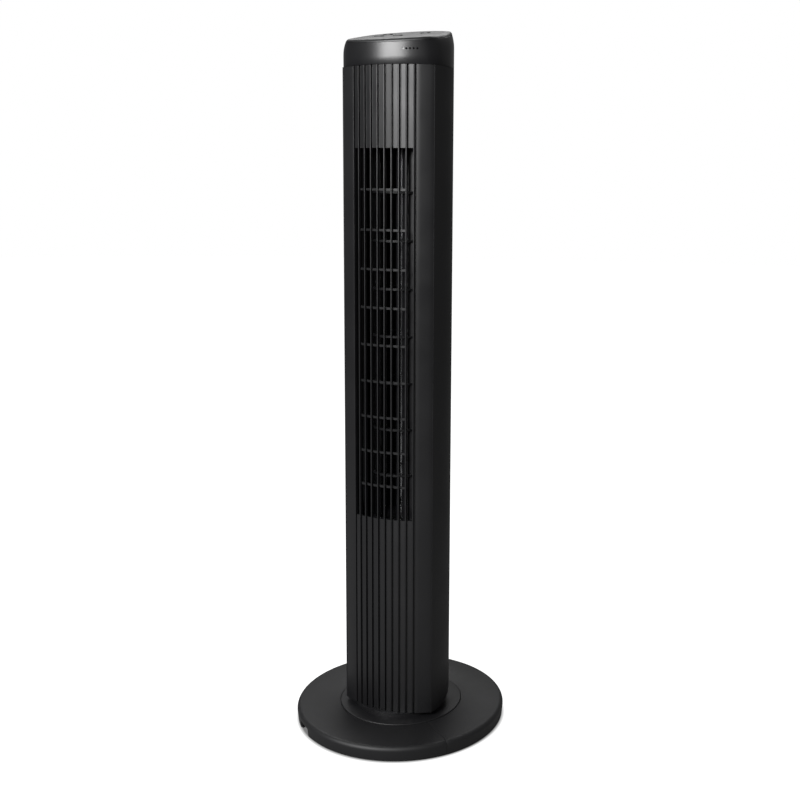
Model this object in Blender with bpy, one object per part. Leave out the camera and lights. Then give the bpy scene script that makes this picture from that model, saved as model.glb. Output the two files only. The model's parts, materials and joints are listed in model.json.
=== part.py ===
"""Oscillating tower fan: round base, turning column with a cross-flow impeller, sloping control head.

Units are metres, +Z is up, the fan blows towards -Y and the origin is the centre of the base on
the floor. The column turns about the Z axis on a hub plate that is fixed in the base.
"""

import math

import bmesh
import bpy
from mathutils import Matrix, Vector

# Clearances
FIT = 0.0003                 # between pieces that touch
RUN = 0.0006                 # between pieces that turn or slide past each other

# Base
BASE_DIAMETER = 0.3048
BASE_HEIGHT = 0.0215         # floor to the flat top of the base
FOOT_STAND = 0.0022          # how far the rubber feet hold the base off the floor
FOOT_RADIUS = 0.007
BASE_SKIN = 0.0025
RIM_ROUND_WIDTH = 0.0065
RIM_ROUND_HEIGHT = 0.0060
RIM_DRAFT = 0.0013
BASE_TURN = math.radians(-40.0)   # direction of the front cord notch, from -Y towards +X
NOTCH_WIDTH = 0.029
NOTCH_HEIGHT = 0.0115
GLAND_PROUD = 0.0005         # the rubber bush stands out of the rim
GLAND_DEPTH = 0.006
CORD_BORE_RADIUS = 0.0036
FEET_PER_HALF = 4
FOOT_INSET = 0.004           # foot boss to the inside of the rim
BOSS_WALL = 0.0015
RIBS_PER_HALF = 8
RIB_THICKNESS = 0.0020
RIB_CLEAR = 0.0030           # ribs stay this far above the lower edge of the rim

# Hub plate, bearing and turning gear
HUB_RADIUS = 0.089
HUB_THICKNESS = 0.0035
HUB_PROUD = 0.0010
HUB_LEDGE = 0.011            # width of the shelf that carries the hub plate
HUB_SCREW_BITE = 0.6         # share of the plate's thickness its screws reach into
HUB_SCREW_SPREAD = math.radians(45.0)   # hub screws to either side of a notch
NECK_RADIUS = 0.027
NECK_WALL = 0.006
BEARING_RADIUS = 0.062
BEARING_WIDTH = 0.010
WASHER_THICKNESS = 0.0014
GEAR_MODULE = 0.0015
RING_TEETH = 48
PINION_TEETH = 12
GEAR_THICKNESS = 0.0028
# Corners of one tooth: share of the tooth pitch, and height above the pitch circle in modules
TOOTH_SHAPE = ((-0.27, -1.2), (-0.13, 0.85), (0.13, 0.85), (0.27, -1.2))
SWING_LIMIT = math.radians(42.0)
STOP_RADIUS = 0.0025

# Column
COLUMN_LIFT = 0.0070         # gap between the base top and the column
COLUMN_HALF_WIDTH = 0.0759
COLUMN_FRONT = 0.0619        # axis to the foremost fin
COLUMN_BACK = 0.0702         # axis to the back
WIDEST_AHEAD = 0.0096        # the widest line of the column lies this far ahead of the axis
FRONT_RADIUS = 0.1333
REAR_POWER = 1.8             # roundness of the back, 2 being an ellipse
WALL = 0.0025
SEAM_HEIGHT = 0.9325         # floor to the joint under the head
TUCK_HEIGHT = 0.018          # the rear housing draws in over this height at its foot
TUCK_DEPTH = 0.004

# Front panel
GROOVE_PITCH = 0.01037
GROOVE_WIDTH = 0.0026
FIN_WIDTH = 0.0018
FIN_PROUD = 0.0008
STRIP_DEPTH = 0.0020
WEB_DEPTH = 0.0015
STRIPS = 9
WINDOW_DROP = 0.1079         # seam under the head down to the top of the window
WINDOW_FOOT = 0.3134         # floor to the bottom of the window
WINDOW_BARS = 9
BAR_HEIGHT = 0.0030
BAR_CROWD = 0.0406           # how much the bars crowd towards the bottom of the window

# Rear intake grille and hand grip
SLOT_COLUMNS = 11
SLOT_ROWS = 8
SLOT_PITCH = 0.0094
SLOT_WIDTH = 0.0056
SLOT_BRIDGE = 0.0050
GRILLE_INSET = 0.0106        # the grille ends this far inside the height of the window
GRIP_DROP = 0.0465           # seam under the head down to the middle of the grip
GRIP_WIDTH = 0.092
GRIP_HEIGHT = 0.030
GRIP_DEPTH = 0.024
GRIP_WALL = 0.0020
GRIP_SIDE = 0.0030           # plastic of the cup beyond its side walls
GRIP_SHELF = 0.0010          # plastic of the cup above and below the opening

# Head
HEAD_SLOPE = math.atan(0.2203)
HEAD_RISE = 0.0456           # seam up to the sloping top, on the axis
COVER_THICKNESS = 0.0040
COVER_EDGE = 0.0025
CORNER_REACH = 0.011         # how far the rounded front corners of the head reach along each side
SHOULDER_WIDTH = 0.0145      # the sides of the head roll in by this much towards the sloping top
SHOULDER_DROP = 0.022        # height over which they do so
SHOULDER_STEPS = 5
SHOULDER_EASE = 1.5          # how gently they start to roll in, towards the middle of the head
BUTTON_LENGTH = 0.0150
BUTTON_WIDTH = 0.0085
BUTTON_PROUD = 0.0006
BUTTON_TRAVEL = 0.0010
BUTTON_FLANGE = 0.0012
BUTTON_LIP = 0.0020          # how much longer and wider the flange is than the opening
BOARD_DEPTH = 0.0085         # underside of the cover to the top of the circuit board
BOARD_BACK = 0.004           # the board sits this far behind the axis
BOARD_INSET = 0.006          # edge of the board to the centre of a post
POST_RADIUS = 0.003
SWITCH_SIZE = 0.006
BOARD_LENGTH = 0.096
BOARD_WIDTH = 0.060
BOARD_THICKNESS = 0.0016
RECEIVER_RADIUS = 0.0020
RECEIVER_TAIL = 0.003        # how far the receiver reaches below the cover
LAMP_COUNT = 5
LAMP_PITCH = 0.00457
LAMP_RADIUS = 0.0014
LAMP_CENTRE_X = 0.0381
LAMP_RISE = 0.0197           # seam up to the row of lamps
LAMP_PROUD = 0.0001
LAMP_GUIDE_DEPTH = 0.006
LAMP_GUIDE_EDGE = 0.003      # the light guide reaches this far past the lamps on each side

# Air mover
IMPELLER_RADIUS = 0.045
IMPELLER_BEHIND = 0.003      # impeller axis behind the column axis
IMPELLER_OVERLAP = 0.009     # the impeller runs this far past each end of the window
IMPELLER_CLEAR = 0.005       # impeller to the plates above and below it
BLADE_DEPTH = 0.010
BLADE_COUNT = 16
BLADE_SHARE = 0.24           # share of each blade pitch that is plastic
IMPELLER_SECTIONS = 8
RING_HEIGHT = 0.0030
SHAFT_RADIUS = 0.004
MOTOR_RADIUS = 0.041
MOTOR_HEIGHT = 0.050
MOTOR_BOSS_RADIUS = 0.012
MOTOR_EDGE = 0.003
SHAFT_SEAT = 0.015           # how deep the shaft sits in the motor
SHAFT_END_GAP = 0.001        # end of the shaft to the floor of its recess
SHAFT_TAIL = 0.004           # how far the shaft stands out above the top plate
PLATE_THICKNESS = 0.0035
TAB_HEIGHT = 0.012
TAB_SPACING = 0.044
TAB_WIDTH = 0.010
TAB_DEPTH = 0.012
HOUSING_SCREW_BITE = 0.008   # how far a housing screw reaches into its tab
TAB_CLEAR = 0.001            # tab to the inside of the housing wall
SCREW_RADIUS = 0.0016
SCREW_HEAD_RADIUS = 0.0032
SCREW_HEAD_HEIGHT = 0.0016
NECK_SCREW_RADIUS = 0.0012
NECK_SCREW_HEAD_RADIUS = 0.0026
NECK_SCREW_HEAD_HEIGHT = 0.0014
NECK_SCREW_BITE = 0.0045     # how far the retainer screws reach above the retainer
RETAINER_THICKNESS = 0.0025
RETAINER_LIP = 0.009         # how far the retainer reaches out past the neck
BUSH_RADIUS = 0.009
BUSH_PROUD = 0.001           # the bush stands out of its plate on both faces
GUIDE_THICKNESS = 0.0015
GUIDE_CLEAR = 0.003          # impeller to the nearest point of a guide
SCROLL_TURN = (math.radians(-62.0), math.radians(-150.0))   # ends of the scroll guide, from -Y
SCROLL_SPREAD = 0.007        # how much the scroll guide opens out towards its first end
TONGUE_TURN = (math.radians(58.0), math.radians(82.0))
TONGUE_SPREAD = (0.004, 0.001)
SWING_MOTOR_RADIUS = 0.0175
SWING_MOTOR_HEIGHT = 0.019
PINION_SHAFT_RADIUS = 0.0025
PINION_SHAFT_SEAT = 0.004    # how far the pinion's shaft reaches into the swing motor

# Levels and radii that follow from the sizes above
base_radius = BASE_DIAMETER / 2
hub_top = BASE_HEIGHT + HUB_PROUD
hub_bottom = hub_top - HUB_THICKNESS
ledge_top = hub_bottom - FIT
column_bottom = BASE_HEIGHT + COLUMN_LIFT
foot_plate_top = column_bottom + PLATE_THICKNESS
washer_top = column_bottom - FIT
washer_bottom = washer_top - WASHER_THICKNESS
ring_gear_radius = GEAR_MODULE * RING_TEETH / 2
pinion_radius = GEAR_MODULE * PINION_TEETH / 2
gear_distance = ring_gear_radius + pinion_radius + FIT
panel_depth = FIN_PROUD + STRIP_DEPTH + WEB_DEPTH
cover_top = SEAM_HEIGHT + HEAD_RISE        # the sloping top, on the axis
lamp_height = SEAM_HEIGHT + LAMP_RISE
grip_level = SEAM_HEIGHT - GRIP_DROP
window_top = SEAM_HEIGHT - WINDOW_DROP
window_bottom = WINDOW_FOOT
grille_top = window_top - GRILLE_INSET
grille_bottom = window_bottom + GRILLE_INSET
impeller_bottom = window_bottom - IMPELLER_OVERLAP
impeller_top = window_top + IMPELLER_OVERLAP
motor_plate_top = impeller_bottom - IMPELLER_CLEAR
bearing_plate_bottom = impeller_top + IMPELLER_CLEAR
impeller_axis = Vector((0.0, IMPELLER_BEHIND, 0.0))
front_centre_y = FRONT_RADIUS - COLUMN_FRONT
screw_hole_radius = SCREW_RADIUS + FIT
board_drop = COVER_THICKNESS + BOARD_DEPTH
shoulder_start = LAMP_CENTRE_X + LAMP_PITCH * (LAMP_COUNT - 1) / 2 + 2 * LAMP_GUIDE_EDGE


# ---------------------------------------------------------------- materials and scene helpers

def make_material(name, colour, roughness, metallic=0.0):
    """A plain surface with one colour, one roughness and one metallic value."""
    material = bpy.data.materials.new(name)
    material.use_nodes = True
    shader = material.node_tree.nodes["Principled BSDF"]
    shader.inputs["Base Color"].default_value = (*colour, 1.0)
    shader.inputs["Roughness"].default_value = roughness
    shader.inputs["Metallic"].default_value = metallic
    return material


def clear_scene():
    for item in list(bpy.data.objects):
        bpy.data.objects.remove(item, do_unlink=True)


def add_object(name, mesh_data, colour=None, roughness=0.5, metallic=0.0, origin=(0.0, 0.0, 0.0)):
    """Turn a bmesh in world positions into an object whose origin lies at `origin`."""
    bmesh.ops.recalc_face_normals(mesh_data, faces=mesh_data.faces)
    bmesh.ops.translate(mesh_data, verts=mesh_data.verts, vec=-Vector(origin))
    mesh = bpy.data.meshes.new(name)
    mesh_data.to_mesh(mesh)
    mesh_data.free()
    made = bpy.data.objects.new(name, mesh)
    made.location = origin
    bpy.context.collection.objects.link(made)
    if colour is not None:
        mesh.materials.append(make_material(name, colour, roughness, metallic))
        mesh.shade_smooth()
        mesh.set_sharp_from_angle(angle=math.radians(30.0))
    return made


def add_empty(name, location, parent=None):
    empty = bpy.data.objects.new(name, None)
    empty.location = location
    bpy.context.collection.objects.link(empty)
    if parent is not None:
        attach(empty, parent)
    return empty


def attach(child, parent):
    """Parent a piece without moving it."""
    bpy.context.view_layer.update()
    child.parent = parent
    child.matrix_parent_inverse = parent.matrix_world.inverted()
    bpy.context.view_layer.update()


def boolean(target, tool, operation):
    """Cut or join with a helper object that stays out of the finished part."""
    tool.hide_render = True
    tool.display_type = "WIRE"
    modifier = target.modifiers.new(tool.name, "BOOLEAN")
    modifier.operation = operation
    modifier.object = tool
    modifier.solver = "EXACT"


def cut(target, tool):
    boolean(target, tool, "DIFFERENCE")


def join(target, tool):
    boolean(target, tool, "UNION")


# ---------------------------------------------------------------- shape helpers

def prism_mesh(outer, bottom, top, inner=None):
    """Upright prism. `inner` is an optional hole whose point count divides that of `outer`."""
    shape = bmesh.new()
    low = [shape.verts.new((x, y, bottom)) for x, y in outer]
    high = [shape.verts.new((x, y, top)) for x, y in outer]
    count = len(outer)
    for i in range(count):
        j = (i + 1) % count
        shape.faces.new((low[i], low[j], high[j], high[i]))
    if inner is None:
        shape.faces.new(list(reversed(low)))
        shape.faces.new(high)
        return shape
    low_hole = [shape.verts.new((x, y, bottom)) for x, y in inner]
    high_hole = [shape.verts.new((x, y, top)) for x, y in inner]
    share = count // len(inner)
    for i in range(len(inner)):
        j = (i + 1) % len(inner)
        shape.faces.new((low_hole[j], low_hole[i], high_hole[i], high_hole[j]))
        span = [(i * share + step) % count for step in range(share + 1)]
        shape.faces.new([high[k] for k in span] + [high_hole[j], high_hole[i]])
        shape.faces.new([low_hole[i], low_hole[j]] + [low[k] for k in reversed(span)])
    return shape


def circle_points(radius, count, centre=(0.0, 0.0), start=0.0):
    points = []
    for i in range(count):
        angle = start + 2 * math.pi * i / count
        points.append((centre[0] + radius * math.cos(angle), centre[1] + radius * math.sin(angle)))
    return points


def cylinder(name, radius, bottom, top, centre=(0.0, 0.0), sides=24, **look):
    """Upright cylinder with its origin on its own axis."""
    shape = prism_mesh(circle_points(radius, sides, centre, start=0.7 * math.pi / sides), bottom, top)
    return add_object(name, shape, origin=(centre[0], centre[1], 0.0), **look)


def box_mesh(low, high):
    outer = [(low[0], low[1]), (high[0], low[1]), (high[0], high[1]), (low[0], high[1])]
    return prism_mesh(outer, low[2], high[2])


def turned_mesh(profile, steps, start=0.0, sweep=2 * math.pi):
    """Turn a closed (radius, height) profile about Z. A part turn is closed with flat ends."""
    shape = bmesh.new()
    whole = sweep > 2 * math.pi - 1e-6
    stations = steps if whole else steps + 1
    rings = []
    for i in range(stations):
        angle = start + sweep * i / steps
        ring = []
        for radius, height in profile:
            ring.append(shape.verts.new((radius * math.sin(angle), -radius * math.cos(angle), height)))
        rings.append(ring)
    for i in range(steps):
        near = rings[i]
        far = rings[(i + 1) % stations]
        for k in range(len(profile)):
            m = (k + 1) % len(profile)
            shape.faces.new((near[k], near[m], far[m], far[k]))
    if not whole:
        shape.faces.new(rings[0])
        shape.faces.new(rings[-1])
    return shape


def turn_about_z(shape, angle):
    bmesh.ops.rotate(shape, verts=shape.verts, cent=(0, 0, 0), matrix=Matrix.Rotation(angle, 3, "Z"))


def cell_mesh(place, filled, counts, closed=False):
    """Solid built from a grid of cells.

    `counts` is the number of cells along, up and deep. `place(i, j, k)` gives each grid point and
    `filled(i, j, k)` says which cells are solid. A closed grid runs round on itself along i.
    """
    along, up, deep = counts
    shape = bmesh.new()
    points = {}

    def point(i, j, k):
        key = (i % along if closed else i, j, k)
        if key not in points:
            points[key] = shape.verts.new(place(*key))
        return points[key]

    def solid(i, j, k):
        if closed:
            i %= along
        elif not 0 <= i < along:
            return False
        return 0 <= j < up and 0 <= k < deep and filled(i, j, k)

    for i in range(along):
        for j in range(up):
            for k in range(deep):
                if not solid(i, j, k):
                    continue
                for side in (0, 1):
                    step = 2 * side - 1
                    if not solid(i + step, j, k):
                        n = i + side
                        shape.faces.new((point(n, j, k), point(n, j + 1, k),
                                         point(n, j + 1, k + 1), point(n, j, k + 1)))
                    if not solid(i, j + step, k):
                        n = j + side
                        shape.faces.new((point(i, n, k), point(i + 1, n, k),
                                         point(i + 1, n, k + 1), point(i, n, k + 1)))
                    if not solid(i, j, k + step):
                        n = k + side
                        shape.faces.new((point(i, j, n), point(i + 1, j, n),
                                         point(i + 1, j + 1, n), point(i, j + 1, n)))
    return shape


def merge_flat_faces(shape):
    """Merge flush neighbouring faces, so flat areas carry few edges."""
    bmesh.ops.dissolve_limit(shape, angle_limit=math.radians(0.05), verts=shape.verts,
                             edges=shape.edges, use_dissolve_boundaries=False)


# ---------------------------------------------------------------- plan outline of the column

def corner_angle(front_inset, side_inset):
    """Angle on the side circle, from -Y, where it meets the front arc."""
    side = COLUMN_HALF_WIDTH - side_inset
    front = FRONT_RADIUS - front_inset
    apart = front_centre_y + WIDEST_AHEAD
    ahead = (front ** 2 - side ** 2 - apart ** 2) / (2 * apart)
    return math.acos(ahead / side)


def side_point(angle, inset):
    radius = COLUMN_HALF_WIDTH - inset
    return (radius * math.sin(angle), -WIDEST_AHEAD - radius * math.cos(angle))


def rear_stations():
    """Positions across the back, right to left, as (x on the outer face, slot starts here)."""
    edges = []
    for i in range(SLOT_COLUMNS):
        middle = SLOT_PITCH * ((SLOT_COLUMNS - 1) / 2 - i)
        edges += [(middle + SLOT_WIDTH / 2, True), (middle - SLOT_WIDTH / 2, False)]
    plain = COLUMN_HALF_WIDTH - edges[0][0]
    shares = (0.0, 0.02, 0.08, 0.2, 0.4, 0.7)
    stations = [(COLUMN_HALF_WIDTH - plain * share, False) for share in shares]
    stations += edges
    stations += [(plain * share - COLUMN_HALF_WIDTH, False) for share in reversed(shares)]
    return stations


def rear_point(x, inset):
    """Point on the back, at the share of the half width that x has on the outer face."""
    share = min(1.0, abs(x) / COLUMN_HALF_WIDTH)
    width = COLUMN_HALF_WIDTH - inset
    depth = COLUMN_BACK + WIDEST_AHEAD - inset
    y = depth * (1 - share ** REAR_POWER) ** (1 / REAR_POWER)
    return (math.copysign(width * share, x), -WIDEST_AHEAD + y)


def front_point(angle, inset):
    radius = FRONT_RADIUS - inset
    return (radius * math.sin(angle), front_centre_y - radius * math.cos(angle))


def front_half_angle(front_inset, side_inset):
    x, _ = side_point(corner_angle(front_inset, side_inset), side_inset)
    return math.asin(x / (FRONT_RADIUS - front_inset))


def column_outline(front_inset, side_inset, front_steps=12, side_steps=3, corner_reach=0.0):
    """Counter-clockwise outline of the column, optionally with rounded front corners."""
    half = front_half_angle(front_inset, side_inset)
    corner = corner_angle(front_inset, side_inset)
    front_cut = corner_reach / FRONT_RADIUS
    side_cut = corner_reach / COLUMN_HALF_WIDTH
    points = []
    for i in range(front_steps + 1):
        angle = (half - front_cut) * (2 * i / front_steps - 1)
        points.append(front_point(angle, front_inset))
    side_start = corner + side_cut
    right = []
    if corner_reach > 0.0:
        right += rounded_corner(points[-1], side_point(corner, side_inset),
                                side_point(side_start, side_inset))
    first = 0 if corner_reach > 0.0 else 1
    for i in range(first, side_steps + 1):
        angle = side_start + (math.pi / 2 - side_start) * i / side_steps
        right.append(side_point(angle, side_inset))
    points += right
    half_back = [rear_point(x, side_inset) for x, _ in rear_stations()[1:len(rear_stations()) // 2:2]]
    points += half_back
    points += [(-x, y) for x, y in reversed(half_back)]
    points += [(-x, y) for x, y in reversed(right)]
    return points


def rounded_corner(start, corner, end, steps=4):
    """Points strictly between start and end on a smooth curve drawn towards the corner."""
    points = []
    for i in range(1, steps):
        t = i / steps
        x = (1 - t) ** 2 * start[0] + 2 * t * (1 - t) * corner[0] + t ** 2 * end[0]
        y = (1 - t) ** 2 * start[1] + 2 * t * (1 - t) * corner[1] + t ** 2 * end[1]
        points.append((x, y))
    return points


# ---------------------------------------------------------------- base

def base_half_profile():
    """Section of the base shell: top skin, rolled rim and the shelf under the hub plate."""
    inner_top = HUB_RADIUS + RUN
    shelf = HUB_RADIUS - HUB_LEDGE
    under_shelf = ledge_top - BASE_SKIN
    profile = [(base_radius - RIM_DRAFT, FOOT_STAND)]
    for i in range(5):
        angle = math.pi / 2 * i / 4
        radius = base_radius - RIM_ROUND_WIDTH * (1 - math.cos(angle))
        height = BASE_HEIGHT - RIM_ROUND_HEIGHT * (1 - math.sin(angle))
        profile.append((radius, height))
    profile.append((inner_top, BASE_HEIGHT))
    profile.append((inner_top, ledge_top))
    profile.append((shelf, ledge_top))
    profile.append((shelf, under_shelf))
    profile.append((inner_top + BASE_SKIN, under_shelf))
    profile.append((inner_top + 2 * BASE_SKIN, BASE_HEIGHT - BASE_SKIN))
    profile.append((base_radius - RIM_ROUND_WIDTH, BASE_HEIGHT - BASE_SKIN))
    profile.append((base_radius - RIM_DRAFT - BASE_SKIN, BASE_HEIGHT - RIM_ROUND_HEIGHT))
    profile.append((base_radius - RIM_DRAFT - BASE_SKIN, FOOT_STAND))
    return profile


def turn_vector(radius, angle):
    """Point at a radius in a direction measured from -Y towards +X."""
    return (radius * math.sin(angle), -radius * math.cos(angle))


def build_base_half(name, direction):
    """One half of the base shell, with its cord notch, foot bosses and screw holes."""
    seam_gap = FIT / 2 / base_radius
    start = direction - math.pi / 2 + seam_gap
    shape = turned_mesh(base_half_profile(), 36, start, math.pi - 2 * seam_gap)
    half = add_object(name, shape, colour=(0.018, 0.018, 0.020), roughness=0.5)
    for number, centre in enumerate(foot_places(direction)):
        join(half, cylinder(f"boss_{name}_{number + 1}", FOOT_RADIUS + BOSS_WALL, FOOT_STAND,
                            BASE_HEIGHT - BASE_SKIN / 2, centre, sides=16))
    for i in range(RIBS_PER_HALF):
        angle = direction + math.pi / RIBS_PER_HALF * (i - (RIBS_PER_HALF - 1) / 2)
        rib_end = BASE_SKIN / 2 + RIM_DRAFT - base_radius
        rib = box_mesh((-RIB_THICKNESS / 2, rib_end, FOOT_STAND + RIB_CLEAR),
                       (RIB_THICKNESS / 2, -HUB_RADIUS - 1.5 * BASE_SKIN, BASE_HEIGHT - BASE_SKIN / 2))
        turn_about_z(rib, angle)
        join(half, add_object(f"rib_{name}_{i + 1}", rib))
    notch = box_mesh((-NOTCH_WIDTH / 2, -base_radius - 0.01, FOOT_STAND - 0.01),
                     (NOTCH_WIDTH / 2, -base_radius + 0.02, FOOT_STAND + NOTCH_HEIGHT))
    turn_about_z(notch, direction)
    cut(half, add_object(f"notch_{name}", notch))
    for side in (-1, 1):
        centre = turn_vector(HUB_RADIUS - HUB_LEDGE / 2, direction + side * HUB_SCREW_SPREAD)
        cut(half, cylinder(f"hole_{name}_{side + 2}", screw_hole_radius, ledge_top - 0.01,
                           ledge_top + 0.01, centre, sides=12))
    return half


def foot_places(direction):
    """Centres of the feet of one half, spaced evenly and clear of the notch."""
    circle = base_radius - RIM_DRAFT - BASE_SKIN - FOOT_RADIUS - BOSS_WALL - FOOT_INSET
    places = []
    for i in range(FEET_PER_HALF):
        angle = direction + math.pi / FEET_PER_HALF * (i - (FEET_PER_HALF - 1) / 2)
        places.append(turn_vector(circle, angle))
    return places


def build_feet():
    centres = foot_places(BASE_TURN) + foot_places(BASE_TURN + math.pi)
    for number, centre in enumerate(centres):
        cylinder(f"foot_{number + 1}", FOOT_RADIUS, 0.0, FOOT_STAND - FIT, centre, sides=16,
                 colour=(0.02, 0.02, 0.02), roughness=0.85)


def build_cord_gland(direction):
    """Rubber bush that fills the rear notch and leaves a bore for the supply cord."""
    wall_outer = base_radius - RIM_DRAFT
    half_width = NOTCH_WIDTH / 2 - FIT
    shape = box_mesh((-half_width, -wall_outer - GLAND_PROUD, FOOT_STAND),
                     (half_width, -wall_outer + GLAND_DEPTH, FOOT_STAND + NOTCH_HEIGHT - FIT))
    turn_about_z(shape, direction)
    gland = add_object("cord_gland", shape, colour=(0.012, 0.012, 0.012), roughness=0.8)
    bore = bmesh.new()
    bmesh.ops.create_cone(bore, cap_ends=True, segments=16, radius1=CORD_BORE_RADIUS,
                          radius2=CORD_BORE_RADIUS, depth=0.05)
    bmesh.ops.rotate(bore, verts=bore.verts, cent=(0, 0, 0), matrix=Matrix.Rotation(math.pi / 2, 3, "X"))
    bmesh.ops.translate(bore, verts=bore.verts, vec=(0, -wall_outer, FOOT_STAND + NOTCH_HEIGHT / 2))
    turn_about_z(bore, direction)
    cut(gland, add_object("gland_bore", bore))


def hub_screw_places():
    places = []
    for direction in (BASE_TURN, BASE_TURN + math.pi):
        for side in (-1, 1):
            places.append(turn_vector(HUB_RADIUS - HUB_LEDGE / 2, direction + side * HUB_SCREW_SPREAD))
    return places


def build_hub_plate():
    """Fixed plate in the middle of the base, with the bearing track and one stop peg."""
    bore = NECK_RADIUS + RUN
    track_in = BEARING_RADIUS - BEARING_WIDTH / 2
    track_out = BEARING_RADIUS + BEARING_WIDTH / 2
    track_top = washer_bottom - FIT
    edge = HUB_PROUD
    profile = [(bore, hub_bottom), (HUB_RADIUS, hub_bottom), (HUB_RADIUS, hub_top - edge),
               (HUB_RADIUS - 0.3 * edge, hub_top - 0.3 * edge), (HUB_RADIUS - edge, hub_top),
               (track_out, hub_top), (track_out, track_top), (track_in, track_top),
               (track_in, hub_top), (bore, hub_top)]
    plate = add_object("hub_plate", turned_mesh(profile, 48), colour=(0.016, 0.016, 0.018), roughness=0.45)
    join(plate, cylinder("stop_peg", STOP_RADIUS, hub_top - 0.001, column_bottom - RUN,
                         turn_vector(stop_circle(), 0.0), sides=12))
    for i, centre in enumerate(hub_screw_places()):
        cut(plate, cylinder(f"hub_pilot_{i + 1}", screw_hole_radius, hub_bottom - 0.01,
                            hub_bottom + HUB_SCREW_BITE * HUB_THICKNESS + FIT, centre, sides=12))


def stop_circle():
    """Radius of the stop peg and lugs, between the ring gear and the bearing track."""
    return (ring_gear_radius + GEAR_MODULE + BEARING_RADIUS - BEARING_WIDTH / 2) / 2


def build_hub_screws():
    head_top = ledge_top - BASE_SKIN - FIT
    head_face = head_top - SCREW_HEAD_HEIGHT
    tip = hub_bottom + HUB_SCREW_BITE * HUB_THICKNESS
    for i, centre in enumerate(hub_screw_places()):
        profile = [(0.0, head_face), (SCREW_HEAD_RADIUS, head_face), (SCREW_HEAD_RADIUS, head_top),
                   (SCREW_RADIUS, head_top), (SCREW_RADIUS, tip), (0.0, tip)]
        add_screw(f"hub_screw_{i + 1}", profile, Matrix.Translation((centre[0], centre[1], 0.0)))


def add_screw(name, profile, place):
    """Turned screw whose profile starts and ends on its axis."""
    shape = turned_mesh(profile, 10)
    bmesh.ops.remove_doubles(shape, verts=shape.verts, dist=1e-6)
    bmesh.ops.transform(shape, matrix=place, verts=shape.verts)
    origin = place.translation.copy()
    return add_object(name, shape, colour=(0.55, 0.55, 0.57), roughness=0.35, metallic=1.0, origin=origin)


def gear_outline(teeth, centre=(0.0, 0.0), start=0.0):
    """Straight-sided teeth, four points each."""
    pitch_radius = GEAR_MODULE * teeth / 2
    step = 2 * math.pi / teeth
    points = []
    for i in range(teeth):
        for share, offset in TOOTH_SHAPE:
            angle = start + step * (i + share)
            radius = pitch_radius + offset * GEAR_MODULE
            points.append((centre[0] + radius * math.cos(angle), centre[1] + radius * math.sin(angle)))
    return points


def build_gears(turning_column, pinion_pivot):
    ring_bottom = hub_top + FIT
    step = 2 * math.pi / RING_TEETH
    bore = circle_points(NECK_RADIUS + RUN, RING_TEETH, start=math.pi / 2 - step / 4)
    outer = gear_outline(RING_TEETH, start=math.pi / 2)
    add_object("ring_gear", prism_mesh(outer, ring_bottom, ring_bottom + GEAR_THICKNESS, bore),
               colour=(0.03, 0.03, 0.032), roughness=0.5)
    centre = (0.0, gear_distance)
    pinion_step = 2 * math.pi / PINION_TEETH
    outline = gear_outline(PINION_TEETH, centre, start=-math.pi / 2 + pinion_step / 2)
    shape = prism_mesh(outline, ring_bottom, ring_bottom + GEAR_THICKNESS)
    pinion = add_object("swing_pinion", shape, colour=(0.03, 0.03, 0.032), roughness=0.5,
                        origin=(centre[0], centre[1], 0.0))
    shaft = cylinder("pinion_shaft_tool", PINION_SHAFT_RADIUS, ring_bottom + GEAR_THICKNESS / 2,
                     foot_plate_top + FIT + PINION_SHAFT_SEAT, centre, sides=12)
    join(pinion, shaft)
    attach(shaft, pinion_pivot)
    attach(pinion, pinion_pivot)
    attach(pinion_pivot, turning_column)


def build_washer():
    track_in = BEARING_RADIUS - BEARING_WIDTH / 2
    track_out = BEARING_RADIUS + BEARING_WIDTH / 2
    shape = prism_mesh(circle_points(track_out, 40), washer_bottom, washer_top, circle_points(track_in, 40))
    add_object("thrust_washer", shape, colour=(0.03, 0.03, 0.032), roughness=0.4)


# ---------------------------------------------------------------- foot of the column

def build_foot_plate():
    """Bottom plate of the column with the hollow neck and two stop lugs."""
    outline = column_outline(panel_depth + FIT, WALL + TUCK_DEPTH + FIT)
    plate = add_object("foot_plate", prism_mesh(outline, column_bottom, foot_plate_top),
                       colour=(0.016, 0.016, 0.018), roughness=0.5)
    neck_bottom = hub_bottom - RUN
    neck = prism_mesh(circle_points(NECK_RADIUS, 32), neck_bottom, column_bottom + PLATE_THICKNESS / 2)
    join(plate, add_object("neck_tool", neck))
    bore = prism_mesh(circle_points(NECK_RADIUS - NECK_WALL, 24), neck_bottom - 0.01, foot_plate_top + 0.01)
    cut(plate, add_object("neck_bore", bore))
    cut(plate, cylinder("pinion_hole", PINION_SHAFT_RADIUS + RUN, column_bottom - 0.01,
                        foot_plate_top + 0.01, (0.0, gear_distance), sides=12))
    lug_turn = SWING_LIMIT + (2 * STOP_RADIUS + FIT) / stop_circle()
    for side in (-1, 1):
        join(plate, cylinder(f"stop_lug_{side + 2}", STOP_RADIUS, hub_top + RUN, column_bottom + 0.001,
                             turn_vector(stop_circle(), side * lug_turn), sides=12))
    for i in range(3):
        cut(plate, cylinder(f"neck_pilot_{i + 1}", NECK_SCREW_RADIUS + FIT, neck_bottom - 0.01,
                            neck_bottom + NECK_SCREW_BITE + 2 * FIT, neck_screw_place(i), sides=8))
    return plate


def neck_screw_place(number):
    return turn_vector(NECK_RADIUS - NECK_WALL / 2, math.radians(120.0 * number))


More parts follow.
